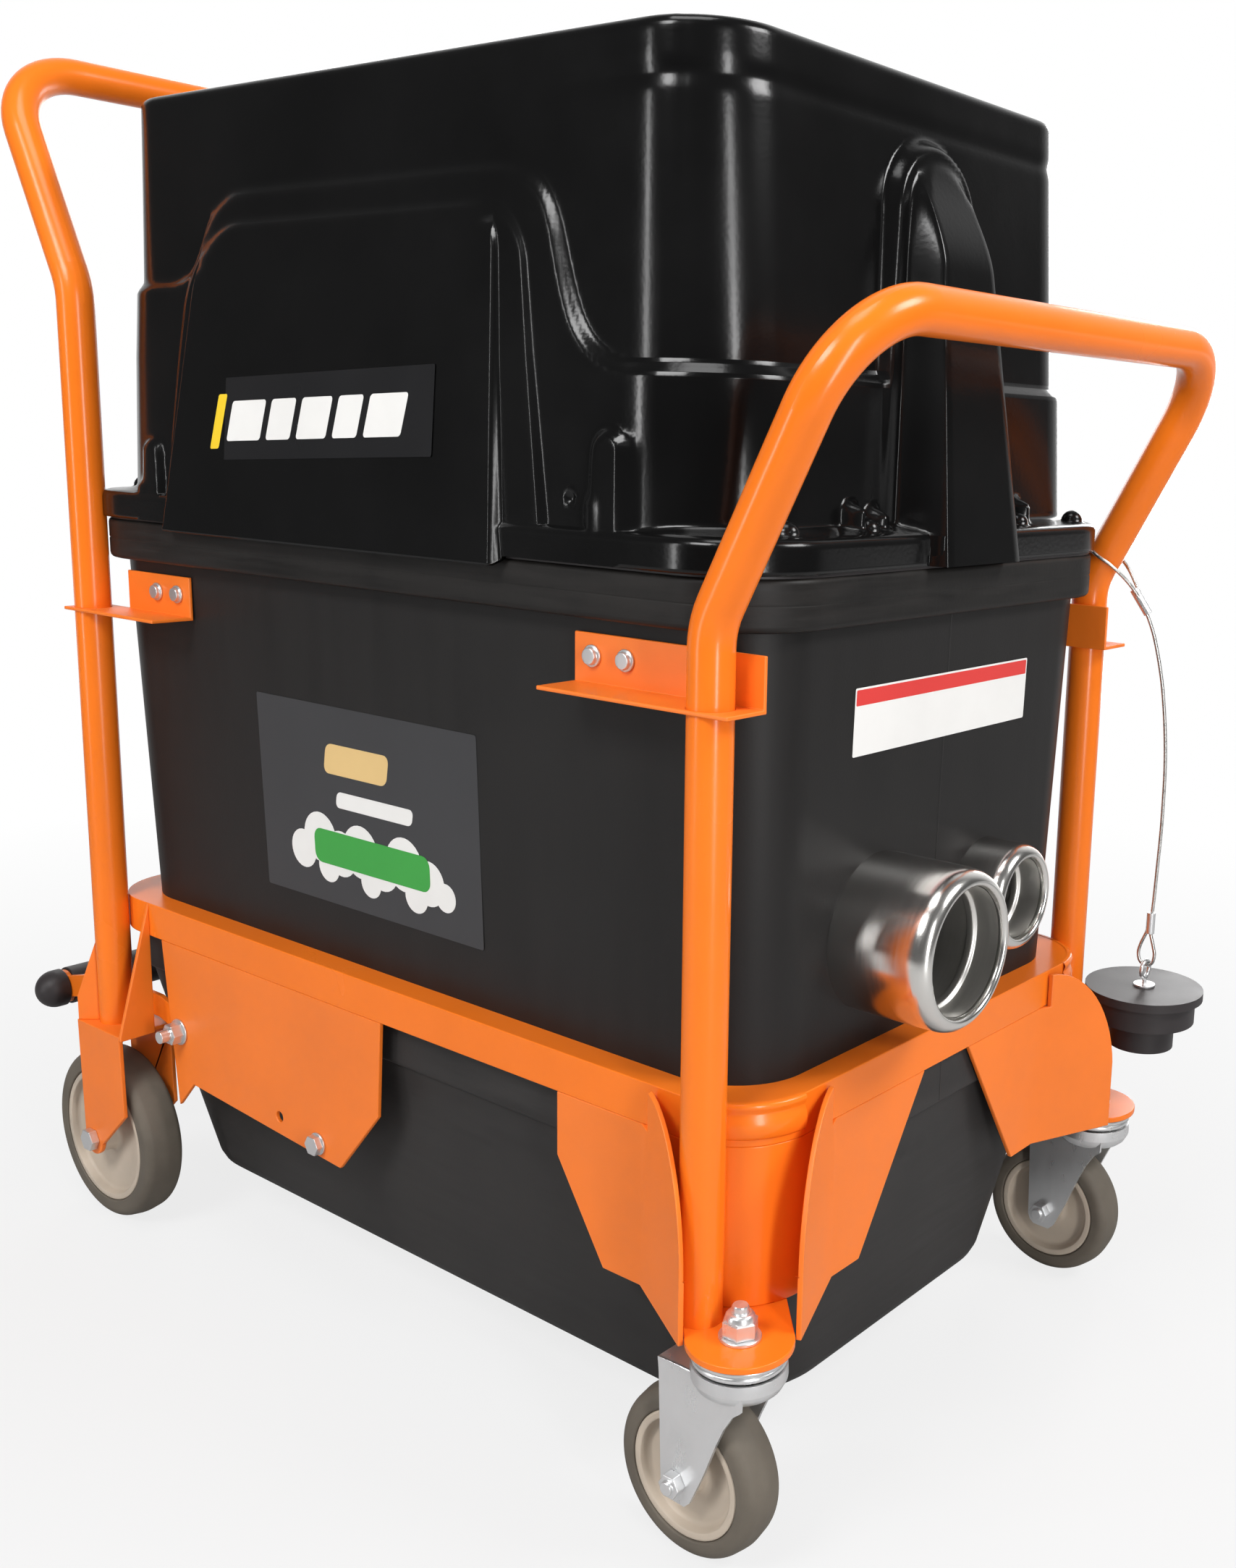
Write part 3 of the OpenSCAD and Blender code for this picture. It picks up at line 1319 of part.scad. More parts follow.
base_ring();
front_handle();
rear_handle();
front_brackets();
rear_brackets();
bracket_screws();
side_wings();
front_wings();
corner_backs();
caster_plates();
side_plate_l();
side_plate_r();
rear_fork_l();
rear_fork_r();
rear_gussets();
side_bolts();
rear_axles();
kingpins();
caster_races();
caster_fork_l();
caster_fork_r();
caster_axle_l();
caster_axle_r();
caster_hub_l();
caster_hub_r();
caster_tyre_l();
caster_tyre_r();
rear_hub_l();
rear_hub_r();
rear_tyre_l();
rear_tyre_r();
tub();
deck();
deck_seal();
hood();
deck_screws();
port_large();
port_small();
filter_front();
filter_rear();
filter_caps();
motor_front();
motor_rear();
motor_gaskets();
bearings();
rotor_front();
rotor_rear();
impeller_front();
impeller_rear();
switch_plate();
rocker_l();
rocker_r();
power_inlet();
dust_bin();
bin_seal();
lift_bail();
bail_grip();
stopper();
stopper_eye();
lanyard();
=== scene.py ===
"""Finished surfaces of a wheeled dust collector, built over its CAD frame."""

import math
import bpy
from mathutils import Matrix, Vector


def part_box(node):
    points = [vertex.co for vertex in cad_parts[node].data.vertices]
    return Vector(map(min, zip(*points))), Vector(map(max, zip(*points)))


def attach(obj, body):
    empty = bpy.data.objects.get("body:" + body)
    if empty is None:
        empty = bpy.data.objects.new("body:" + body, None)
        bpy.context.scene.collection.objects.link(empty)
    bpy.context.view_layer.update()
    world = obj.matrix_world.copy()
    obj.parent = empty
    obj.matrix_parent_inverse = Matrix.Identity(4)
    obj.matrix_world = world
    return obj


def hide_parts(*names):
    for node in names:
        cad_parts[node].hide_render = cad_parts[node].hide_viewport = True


bl_info = {
    "name": "Dust Collector Finish",
    "version": (1, 0, 0),
    "blender": (4, 5, 0),
    "location": "View3D > Sidebar > Dust Collector",
    "description": "Builds the moulded hood, tub, bin, painted cart, wheels, rope and studio stage",
    "category": "Object",
}

import bmesh
import bpy
import numpy as np
from bpy.props import FloatProperty, FloatVectorProperty, PointerProperty
from mathutils import Matrix, Vector

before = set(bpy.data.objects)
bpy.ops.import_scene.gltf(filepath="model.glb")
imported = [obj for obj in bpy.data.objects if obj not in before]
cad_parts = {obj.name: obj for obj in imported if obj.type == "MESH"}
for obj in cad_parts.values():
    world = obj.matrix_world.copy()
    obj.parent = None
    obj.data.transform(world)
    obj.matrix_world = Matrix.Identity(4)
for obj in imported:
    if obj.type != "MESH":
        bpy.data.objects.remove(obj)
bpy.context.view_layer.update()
MM = 0.001
# Points of a CAD mesh that lie this close, in metres, are one
CAD_WELD = 2e-6
# Everything is worked out in millimetres from the middle of the tub
MIDDLE_X = sum(corner[0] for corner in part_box("tub")) / 2 / MM


def span(node):
    """Lowest and highest corner of a CAD node, in millimetres from the middle of the tub."""
    return tuple(np.array(corner) / MM - (MIDDLE_X, 0, 0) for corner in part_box(node))


def half_size(node):
    """Half of a CAD node's length, width and height."""
    low, high = span(node)
    return (high - low) / 2


TUB_LOW, TUB_HIGH = span("tub")
# Walls of the tub: half length and half width at the foot, and what they gain up to the rim
TUB_FOOT, TUB_RIM = TUB_LOW[2] + 11, TUB_HIGH[2]
TUB_HALF_L, TUB_HALF_W = 386.0, 225.0
TUB_GAIN_L, TUB_GAIN_W = 7.5, 11.0
# Side panels of the hood: how far they stand out at the top of the face, and how fast that grows downward
PANEL_PROUD, PANEL_FACE_TOP, PANEL_SLOPE = 11.0, 938.0, 0.077
# Half width of the hood's roof
ROOF_HALF_W = 234.0
# Radius of each hose port's bore
PORT_BORES = {"port_large": 48.5, "port_small": 33.0}

# Settings

COLOUR = {"subtype": "COLOR", "size": 3, "min": 0, "max": 1}


class DustFinishSettings(bpy.types.PropertyGroup):
    """Colours and surface finish."""

    paint: FloatVectorProperty(
        name="Paint", description="Powder coat of the cart", default=(0.87, 0.185, 0.012), **COLOUR)
    hood: FloatVectorProperty(
        name="Hood", description="Grained plastic of the hood", default=(0.0036, 0.0036, 0.0037), **COLOUR)
    tub: FloatVectorProperty(
        name="Tub", description="Moulded plastic of the tub and bin", default=(0.0125, 0.0118, 0.0116), **COLOUR)
    deck: FloatVectorProperty(
        name="Deck", description="Streaked plastic of the deck", default=(0.009, 0.0084, 0.008), **COLOUR)
    rubber: FloatVectorProperty(
        name="Rubber", description="Grip, stopper and seals", default=(0.03, 0.026, 0.027), **COLOUR)
    tyre: FloatVectorProperty(
        name="Tyre", description="Grey rubber of the tyres", default=(0.125, 0.107, 0.085), **COLOUR)
    hub: FloatVectorProperty(
        name="Hub", description="Beige plastic of the hubs", default=(0.52, 0.44, 0.355), **COLOUR)
    zinc: FloatVectorProperty(
        name="Zinc", description="Bright zinc of casters and bolts", default=(0.72, 0.725, 0.73), **COLOUR)
    stainless: FloatVectorProperty(
        name="Stainless", description="Polished steel of the ports", default=(0.78, 0.765, 0.735), **COLOUR)
    paint_roughness: FloatProperty(
        name="Paint Roughness", description="Roughness of the powder coat", subtype="FACTOR",
        min=0, max=1, default=0.24)
    hood_roughness: FloatProperty(
        name="Hood Roughness", description="Roughness of the hood", subtype="FACTOR",
        min=0, max=1, default=0.19)


class DustShapeSettings(bpy.types.PropertyGroup):
    """Sizes of the formed details."""

    ledge: FloatProperty(
        name="Hood Ledge", description="Depth of the step round the hood", unit="LENGTH",
        min=0.002, max=0.012, default=0.007)
    panel_top: FloatProperty(
        name="Panel Top", description="Height of the side panels' top edge", unit="LENGTH",
        min=0.88, max=0.96, default=0.938)
    tub_bow: FloatProperty(
        name="Tub Bow", description="Outward bow of the tub's long walls", unit="LENGTH",
        min=0, max=0.003, default=0.0012)
    edge_round: FloatProperty(
        name="Edge Round", description="Rounding of the painted plates' edges", unit="LENGTH",
        min=0.0002, max=0.002, default=0.0009)
    strand_pitch: FloatProperty(
        name="Strand Pitch", description="Length of one turn of the rope's strands", unit="LENGTH",
        min=0.008, max=0.04, default=0.018)


class DustStageSettings(bpy.types.PropertyGroup):
    """Camera and lamps."""

    camera_place: FloatVectorProperty(
        name="Camera Place", description="Where the camera stands", subtype="XYZ", size=3,
        unit="LENGTH", default=(1.0496, -1.021, 0.779))
    camera_yaw: FloatProperty(
        name="Camera Yaw", description="Heading of the view from +X", subtype="ANGLE",
        default=math.radians(126.95))
    camera_pitch: FloatProperty(
        name="Camera Pitch", description="Downward tilt of the view", subtype="ANGLE",
        default=math.radians(11.30))
    camera_roll: FloatProperty(
        name="Camera Roll", description="Roll of the view", subtype="ANGLE",
        default=math.radians(1.74))
    lens: FloatProperty(
        name="Lens", description="Focal length", unit="CAMERA", min=10, max=100, default=36.366)
    lamp_power: FloatProperty(
        name="Lamp Power", description="Strength of all lamps", min=0, max=4, default=1.0)


# Shapes


def placed(points):
    """Millimetres from the middle of the tub to metres in the frame."""
    out = np.array(points, float)
    out[:, 0] += MIDDLE_X
    return out * MM


def linked(name, data):
    """A new object in the scene."""
    obj = bpy.data.objects.new(name, data)
    bpy.context.scene.collection.objects.link(obj)
    return obj


def unit(direction):
    """A direction with length 1."""
    return np.array(direction, float) / np.linalg.norm(direction)


def mesh_object(name, points, faces, material):
    """A smooth mesh of welded points, with its faces turned outward."""
    mesh = bpy.data.meshes.new(name)
    mesh.from_pydata([tuple(p) for p in placed(points)], [], [tuple(f) for f in faces])
    obj = linked(name, mesh)
    mesh.materials.append(material)
    mesh.polygons.foreach_set("use_smooth", [True] * len(mesh.polygons))
    tidy = bmesh.new()
    tidy.from_mesh(mesh)
    bmesh.ops.remove_doubles(tidy, verts=tidy.verts, dist=1e-6)
    bmesh.ops.recalc_face_normals(tidy, faces=tidy.faces)
    tidy.to_mesh(mesh)
    tidy.free()
    return obj


def even_normals(obj):
    """Wide faces set the shading of the rounded edges beside them."""
    even = obj.modifiers.new("even_normals", "WEIGHTED_NORMAL")
    even.weight = 60
    return even


def rounded(obj, width, segments):
    """Rounds an object's sharp edges by a modifier."""
    bevel = obj.modifiers.new("round", "BEVEL")
    bevel.width = width
    bevel.segments = segments
    bevel.angle_limit = math.radians(40)


def finished(obj, body, nodes=(), weighted=True):
    """The piece rides on its body and stands for its CAD nodes."""
    if weighted:
        even_normals(obj).keep_sharp = True
    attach(obj, body)
    if nodes:
        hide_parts(*nodes)
    return obj


def join_parts(parts):
    """One list of points and faces from several."""
    points, faces, base = [], [], 0
    for part_points, part_faces in parts:
        points.append(np.asarray(part_points, float))
        faces += [tuple(i + base for i in f) for f in part_faces]
        base += len(part_points)
    return np.vstack(points), faces


def outline_at(across, along, half_l, half_w, radius, corner):
    """Rounded rectangle with points at these places on its walls, anticlockwise from the front wall's right end.

    Returns the points and their normals.
    """
    turn_l, turn_w = half_l - radius, half_w - radius
    walls = (
        ([(half_l, y) for y in across[:-1]], (1, 0), (turn_l, turn_w), 0),
        ([(x, half_w) for x in along[:-1]], (0, 1), (-turn_l, turn_w), 90),
        ([(-half_l, y) for y in across[:0:-1]], (-1, 0), (-turn_l, -turn_w), 180),
        ([(x, -half_w) for x in along[:0:-1]], (0, -1), (turn_l, -turn_w), 270),
    )
    points, normals = [], []
    for wall, normal, centre, angle in walls:
        points += wall
        normals += [normal] * len(wall)
        for i in range(corner):
            a = math.radians(angle + 90 * i / corner)
            points.append((centre[0] + radius * math.cos(a), centre[1] + radius * math.sin(a)))
            normals.append((math.cos(a), math.sin(a)))
    return np.array(points, float), np.array(normals, float)


def outline(half_l, half_w, radius, corner, along_l=1, along_w=1):
    """Rounded rectangle with even steps along its walls: points and normals."""
    turn_l, turn_w = half_l - radius, half_w - radius
    return outline_at(np.linspace(-turn_w, turn_w, along_w + 1), np.linspace(turn_l, -turn_l, along_l + 1),
                      half_l, half_w, radius, corner)


def loft(rings, cap_low=True):
    """Skin through rings of equal count, closed by a cap at the last ring and, if asked, the first."""
    count = len(rings[0])
    faces = [
        (r * count + i, r * count + (i + 1) % count, (r + 1) * count + (i + 1) % count, (r + 1) * count + i)
        for r in range(len(rings) - 1) for i in range(count)
    ]
    if cap_low:
        faces.append(tuple(range(count))[::-1])
    faces.append(tuple(range((len(rings) - 1) * count, len(rings) * count)))
    return np.vstack(rings), faces


def box_rings(levels, corner, along_l, along_w):
    """Rings of a rounded box from (z, half length, half width, corner radius)."""
    rings = []
    for z, half_l, half_w, radius in levels:
        points, _ = outline(half_l, half_w, radius, corner, along_l, along_w)
        rings.append(np.column_stack((points, np.full(len(points), z))))
    return rings


def spin(profile, centre, axis, steps, closed=True):
    """Turned part: profile of (radius, along) about an axis through centre."""
    axis = np.array(axis, float)
    side = np.array((0, 0, 1.0)) if abs(axis[2]) < 0.5 else np.array((1.0, 0, 0))
    other = np.cross(axis, side)
    rows = []
    for k in range(steps):
        a = 2 * math.pi * k / steps
        out = math.cos(a) * side + math.sin(a) * other
        rows.append([np.array(centre) + r * out + h * axis for r, h in profile])
    count = len(profile)
    last = count if closed else count - 1
    faces = [
        (k * count + i, k * count + (i + 1) % count,
         ((k + 1) % steps) * count + (i + 1) % count, ((k + 1) % steps) * count + i)
        for k in range(steps) for i in range(last)
    ]
    return np.array(rows).reshape(-1, 3), faces


def prism(shape, low, high, upright):
    """Solid of a flat outline: in X and Z between two Y if upright, else in X and Y between two Z."""
    points = [(u, level, v) if upright else (u, v, level) for level in (low, high) for u, v in shape]
    count = len(shape)
    sides = [(i, (i + 1) % count, count + (i + 1) % count, count + i) for i in range(count)]
    return np.array(points, float), [tuple(range(count)), tuple(range(2 * count - 1, count - 1, -1))] + sides


def arc(centre_r, centre_h, radius, start, end, steps=8):
    """Points of a profile's rounding, from a start to an end angle in degrees."""
    angles = [math.radians(start + (end - start) * i / steps) for i in range(steps + 1)]
    return [(centre_r + radius * math.cos(a), centre_h + radius * math.sin(a)) for a in angles]


def softened(node, material, width, body="cart", segments=2):
    """Copy of a CAD node with rounded edges, in place of it."""
    obj = linked(node + "_finish", bpy.data.meshes.new(node + "_finish"))
    shape = bmesh.new()
    shape.from_mesh(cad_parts[node].data)
    bmesh.ops.remove_doubles(shape, verts=shape.verts, dist=CAD_WELD)
    bmesh.ops.dissolve_limit(shape, angle_limit=math.radians(0.8), verts=shape.verts, edges=shape.edges)
    sharp = [e for e in shape.edges
             if len(e.link_faces) == 2 and e.calc_face_angle(0) > math.radians(32)]
    bmesh.ops.bevel(shape, geom=sharp, offset=width, offset_type="OFFSET", segments=segments,
                    profile=0.6, affect="EDGES", clamp_overlap=False)
    for face in shape.faces:
        face.smooth = True
        face.material_index = 0
    shape.to_mesh(obj.data)
    shape.free()
    obj.data.materials.append(material)
    return finished(obj, body, [node])


def dress(node, material):
    """Gives a CAD node, kept as it is, its finish."""
    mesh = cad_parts[node].data
    if mesh.materials:
        for i in range(len(mesh.materials)):
            mesh.materials[i] = material
    else:
        mesh.materials.append(material)


def rounded_in_place(node, material, width):
    """Dresses a CAD node and rounds its edges without changing its mesh."""
    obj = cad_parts[node]
    dress(node, material)
    obj.modifiers.new("weld", "WELD").merge_threshold = CAD_WELD
    rounded(obj, width, 3)
    even_normals(obj)
    return obj


def tub_wall(z):
    """Half length and half width of the tub at height z."""
    t = (z - TUB_FOOT) / (TUB_RIM - TUB_FOOT)
    return TUB_HALF_L + TUB_GAIN_L * t, TUB_HALF_W + TUB_GAIN_W * t


def panel_face(z):
    """How far a side panel of the hood stands out from the roof's outline at height z."""
    return PANEL_PROUD + (PANEL_FACE_TOP - z) * PANEL_SLOPE


def smooth(t):
    """Soft step from 0 to 1."""
    t = np.clip(t, 0, 1)
    return t * t * (3 - 2 * t)


def smooth_max(a, b, k):
    """The larger of two reaches, with a fillet of about k where they cross."""
    h = np.clip(0.5 + 0.5 * (a - b) / k, 0, 1)
    return b + (a - b) * h + k * h * (1 - h)


def through(points, steps):
    """Catmull-Rom curve through points."""
    p = np.asarray(points, float)
    out = []
    for i in range(len(p) - 1):
        a, b, c, d = p[max(i - 1, 0)], p[i], p[i + 1], p[min(i + 2, len(p) - 1)]
        for k in range(steps):
            t = k / steps
            out.append((2 * b + (c - a) * t + (2 * a - 5 * b + 4 * c - d) * t ** 2
                        + (3 * b - a - 3 * c + d) * t ** 3) / 2)
    return np.array(out + [p[-1]])


def mould_lines(name, heights, wall, profile, body, material):
    """Fine raised line up both end walls, where the halves of the mould met.

    wall gives the wall's half length at a height, and profile the half widths at root and crest and the rise.
    """
    root, crest, rise = profile
    parts = []
    for sign in (1, -1):
        parts.append(loft([
            np.array([(sign * (wall(z) - 1), -root, z), (sign * (wall(z) + rise), -crest, z),
                      (sign * (wall(z) + rise), crest, z), (sign * (wall(z) - 1), root, z)])
            for z in heights
        ]))
    finished(mesh_object(name, *join_parts(parts), material), body)


# Shader groups


def wire(tree, source, target):
    """A socket takes a number as it is, and another socket by a link."""
    if isinstance(source, (int, float)):
        target.default_value = source
    else:
        tree.links.new(source, target)


def new_group(name, inputs, outputs):
    """A new shader group with float and vector sockets, and its two ends."""
    tree = bpy.data.node_groups.new(name, "ShaderNodeTree")
    for label, value in inputs:
        kind = "NodeSocketVector" if isinstance(value, tuple) else "NodeSocketFloat"
        socket = tree.interface.new_socket(label, in_out="INPUT", socket_type=kind)
        socket.default_value = value
    for label in outputs:
        tree.interface.new_socket(label, in_out="OUTPUT", socket_type="NodeSocketFloat")
    return tree, tree.nodes.new("NodeGroupInput"), tree.nodes.new("NodeGroupOutput")


def math_node(tree, operation, a, b, clamp=False):
    node = tree.nodes.new("ShaderNodeMath")
    node.operation = operation
    node.use_clamp = clamp
    wire(tree, a, node.inputs[0])
    wire(tree, b, node.inputs[1])
    return node.outputs[0]


def noise_node(tree, vector, scale, detail, rough):
    node = tree.nodes.new("ShaderNodeTexNoise")
    for label, value in (("Vector", vector), ("Scale", scale), ("Detail", detail), ("Roughness", rough)):
        wire(tree, value, node.inputs[label])
    return node.outputs[0]


def range_node(tree, value, low, high, to_low, to_high):
    node = tree.nodes.new("ShaderNodeMapRange")
    for label, given in (("Value", value), ("From Min", low), ("From Max", high), ("To Min", to_low),
                         ("To Max", to_high)):
        wire(tree, given, node.inputs[label])
    return node.outputs[0]


def scaled_sum(tree, a, share_a, b, share_b):
    """Two heights added in given shares."""
    return math_node(tree, "ADD", math_node(tree, "MULTIPLY", a, share_a), math_node(tree, "MULTIPLY", b, share_b))


def object_place(tree):
    return tree.nodes.new("ShaderNodeTexCoord").outputs["Object"]


def moulded_grain():
    """Pebbled height of a textured mould, and slow variation of tone."""
    name = "Moulded Grain"
    if name in bpy.data.node_groups:
        return bpy.data.node_groups[name]
    tree, given, result = new_group(name, [("Scale", 300.0), ("Tone Scale", 9.0)], ["Height", "Tone"])
    coords = object_place(tree)
    fine = noise_node(tree, coords, given.outputs["Scale"], 2.0, 0.5)
    cells = tree.nodes.new("ShaderNodeTexVoronoi")
    cells.feature = "SMOOTH_F1"
    wire(tree, coords, cells.inputs["Vector"])
    wire(tree, given.outputs["Scale"], cells.inputs["Scale"])
    cells.inputs["Smoothness"].default_value = 0.6
    wire(tree, scaled_sum(tree, fine, 0.6, cells.outputs["Distance"], 0.4), result.inputs["Height"])
    broad = noise_node(tree, coords, given.outputs["Tone Scale"], 4.0, 0.6)
    wire(tree, range_node(tree, broad, 0.3, 0.7, 0.0, 1.0), result.inputs["Tone"])
    return tree


def settled_dust():
    """Mask of dust that lies on faces turned upward, in patches."""
    name = "Settled Dust"
    if name in bpy.data.node_groups:
        return bpy.data.node_groups[name]
    tree, given, result = new_group(name, [("Amount", 0.1), ("Scale", 14.0)], ["Mask"])
    normal = tree.nodes.new("ShaderNodeNewGeometry").outputs["Normal"]
    split = tree.nodes.new("ShaderNodeSeparateXYZ")
    wire(tree, normal, split.inputs[0])
    coords = object_place(tree)
    patches = noise_node(tree, coords, given.outputs["Scale"], 5.0, 0.65)
    facing = range_node(tree, split.outputs["Z"], -0.1, 1.0, 0.15, 1.0)
    mask = math_node(tree, "MULTIPLY", facing, range_node(tree, patches, 0.35, 0.7, 0.0, 1.0))
    wire(tree, math_node(tree, "MULTIPLY", mask, given.outputs["Amount"], True), result.inputs["Mask"])
    return tree


def drawn_lines():
    """Fine lines from drawing, sawing or handling, stretched along one way."""
    name = "Drawn Lines"
    if name in bpy.data.node_groups:
        return bpy.data.node_groups[name]
    tree, given, result = new_group(
        name, [("Stretch", (1.0, 1.0, 1.0)), ("Scale", 60.0)], ["Height", "Streak"])
    coords = object_place(tree)
    scaled = tree.nodes.new("ShaderNodeVectorMath")
    scaled.operation = "MULTIPLY"
    wire(tree, coords, scaled.inputs[0])
    wire(tree, given.outputs["Stretch"], scaled.inputs[1])
    lines = noise_node(tree, scaled.outputs[0], given.outputs["Scale"], 4.0, 0.6)
    wire(tree, lines, result.inputs["Height"])
    wire(tree, range_node(tree, lines, 0.35, 0.68, 0.0, 1.0), result.inputs["Streak"])
    return tree


# Materials

DUST_COLOUR = (0.36, 0.31, 0.27)


def shade(colour, factor):
    """A lighter or darker tone of a colour."""
    return tuple(min(1.0, c * factor) for c in colour)


def mix_colour(tree, factor, a, b):
    node = tree.nodes.new("ShaderNodeMix")
    node.data_type = "RGBA"
    wire(tree, factor, node.inputs[0])
    for socket, value in ((node.inputs[6], a), (node.inputs[7], b)):
        if isinstance(value, tuple):
            socket.default_value = (*value, 1)
        else:
            wire(tree, value, socket)
    return node.outputs[2]


def place_group(tree, group, **values):
    """Puts a shader group in a material; the values are its inputs by name."""
    node = tree.nodes.new("ShaderNodeGroup")
    node.node_tree = group
    for label, value in values.items():
        node.inputs[label.replace("_", " ")].default_value = value
    return node.outputs


def finish_material(name, colour, roughness, metallic=0.0, specular=0.5, grain=300.0, bump=0.00008, vary=0.1,
                    rough_vary=0.06, tone_scale=9.0, dust=0.0, lines=None):
    """Material with grain, tone, dust and, where given, drawn lines (stretch, scale, depth, contrast)."""
    if name in bpy.data.materials:
        return bpy.data.materials[name]
    material = bpy.data.materials.new(name)
    material.use_nodes = True
    tree = material.node_tree
    surface = tree.nodes["Principled BSDF"]
    surface.inputs["Metallic"].default_value = metallic
    surface.inputs["Specular IOR Level"].default_value = specular
    made = place_group(tree, moulded_grain(), Scale=grain, Tone_Scale=tone_scale)
    base = mix_colour(tree, made["Tone"], shade(colour, 1 - vary), shade(colour, 1 + vary))
    rough = made["Tone"]
    height = made["Height"]
    depth = bump
    if lines:
        stretch, scale, line_depth, contrast = lines
        drawn = place_group(tree, drawn_lines(), Stretch=stretch, Scale=scale)
        streak = mix_colour(tree, made["Tone"], shade(colour, 1 + contrast), shade(colour, 1 + 0.6 * contrast))
        base = mix_colour(tree, drawn["Streak"], base, streak)
        rough = math_node(tree, "MULTIPLY_ADD", drawn["Streak"], 0.5)
        rough.node.inputs[2].default_value = 0.25
        depth = bump + line_depth
        height = scaled_sum(tree, height, bump / depth, drawn["Height"], line_depth / depth)
    if dust:
        mask = place_group(tree, settled_dust(), Amount=dust)["Mask"]
        base = mix_colour(tree, mask, base, DUST_COLOUR)
        rough = math_node(tree, "ADD", rough, mask, True)
    wire(tree, base, surface.inputs["Base Color"])
    smoothest, roughest = max(0.02, roughness - rough_vary), min(1.0, roughness + rough_vary)
    wire(tree, range_node(tree, rough, 0.0, 1.0, smoothest, roughest), surface.inputs["Roughness"])
    relief = tree.nodes.new("ShaderNodeBump")
    relief.inputs["Strength"].default_value = 1.0
    relief.inputs["Distance"].default_value = depth
    wire(tree, height, relief.inputs["Height"])
    wire(tree, relief.outputs["Normal"], surface.inputs["Normal"])
    return material


# What finish_material takes for each finish. A colour or roughness given in words is the name of a setting, which
# tone and rougher change
FINISHES = {
    "paint": dict(
        name="orange_powder_coat", colour="paint", roughness="paint_roughness", specular=0.32, grain=420.0,
        bump=0.00003, vary=0.045, rough_vary=0.05, tone_scale=6.0, dust=0.02),
    "plate": dict(
        name="orange_plate_coat", colour="paint", roughness="paint_roughness", rougher=0.2, specular=0.55,
        grain=520.0, bump=0.00005, vary=0.06, rough_vary=0.06, tone_scale=9.0, dust=0.04),
    "hood": dict(
        name="grained_hood_black", colour="hood", roughness="hood_roughness", specular=0.28, grain=330.0,
        bump=0.00006, vary=0.25, rough_vary=0.05, tone_scale=5.0, dust=0.002),
    "tub": dict(
        name="moulded_tub_black", colour="tub", roughness=0.46, specular=0.22, grain=520.0, bump=0.00006,
        vary=0.22, rough_vary=0.08, tone_scale=4.0, dust=0.01, lines=((1.0, 1.0, 0.12), 26.0, 0.00003, 0.25)),
    "bin": dict(
        name="scuffed_bin_black", colour="tub", tone=1.9, roughness=0.5, specular=0.22, grain=420.0, bump=0.00006,
        vary=0.25, rough_vary=0.1, tone_scale=6.0, dust=0.07, lines=((0.15, 0.15, 1.4), 70.0, 0.00004, 0.35)),
    "deck": dict(
        name="streaked_deck_black", colour="deck", roughness=0.5, specular=0.2, grain=260.0, bump=0.0001,
        vary=0.25, rough_vary=0.12, tone_scale=7.0, dust=0.05, lines=((0.12, 0.12, 1.6), 90.0, 0.00016, 0.9)),
    "rubber": dict(
        name="black_rubber", colour="rubber", roughness=0.45, specular=0.3, grain=600.0, bump=0.00004, vary=0.2,
        dust=0.03),
    "tyre": dict(
        name="grey_tyre", colour="tyre", roughness=0.62, specular=0.3, grain=380.0, bump=0.00008, vary=0.14,
        rough_vary=0.1, tone_scale=24.0, dust=0.1),
    "hub": dict(
        name="beige_hub", colour="hub", roughness=0.46, specular=0.4, grain=300.0, bump=0.00005, vary=0.07,
        tone_scale=16.0, dust=0.08),
    "zinc": dict(
        name="bright_zinc", colour="zinc", roughness=0.3, metallic=0.82, grain=240.0, bump=0.000005, vary=0.05,
        rough_vary=0.06, tone_scale=40.0, lines=((1.0, 1.0, 0.3), 90.0, 0.000004, 0.04)),
    "stainless": dict(
        name="polished_stainless", colour="stainless", roughness=0.21, metallic=1.0, grain=500.0, bump=0.000008,
        vary=0.04, rough_vary=0.05, tone_scale=12.0, lines=((7.0, 0.35, 0.35), 60.0, 0.000012, 0.03)),
    "bore": dict(
        name="brushed_bore", colour="stainless", roughness=0.34, metallic=1.0, grain=500.0, bump=0.00001,
        vary=0.06, rough_vary=0.06, tone_scale=20.0, lines=((9.0, 0.4, 0.4), 60.0, 0.00003, 0.05)),
    "rope": dict(
        name="wire_rope_steel", colour=(0.6, 0.59, 0.57), roughness=0.36, metallic=1.0, grain=1400.0, bump=0.00004,
        vary=0.18, rough_vary=0.12, tone_scale=300.0),
    "copper": dict(
        name="copper_winding", colour=(0.62, 0.29, 0.13), roughness=0.35, metallic=1.0, grain=500.0,
        lines=((1.0, 1.0, 0.1), 300.0, 0.0001, 0.3)),
    "paper": dict(
        name="filter_paper", colour=(0.74, 0.71, 0.63), roughness=0.85, specular=0.2, grain=700.0, bump=0.0001,
        dust=0.25),
    "switch": dict(
        name="red_switch", colour=(0.55, 0.02, 0.015), roughness=0.28, grain=600.0, bump=0.00001, vary=0.06),
}


def look_of(finish):
    """The material of one of the finishes."""
    settings = bpy.context.scene.dust_finish
    values = dict(FINISHES[finish])
    if isinstance(values["colour"], str):
        values["colour"] = shade(getattr(settings, values["colour"]), values.pop("tone", 1.0))
    if isinstance(values["roughness"], str):
        values["roughness"] = getattr(settings, values["roughness"]) + values.pop("rougher", 0.0)
    return finish_material(**values)


def label_material(name, colour, rough=0.34):
    """Printed film of a label, in one colour."""
    return finish_material(name, colour, rough, specular=0.25, grain=900.0, bump=0.00001, vary=0.04, rough_vary=0.04)


# Stage and pieces


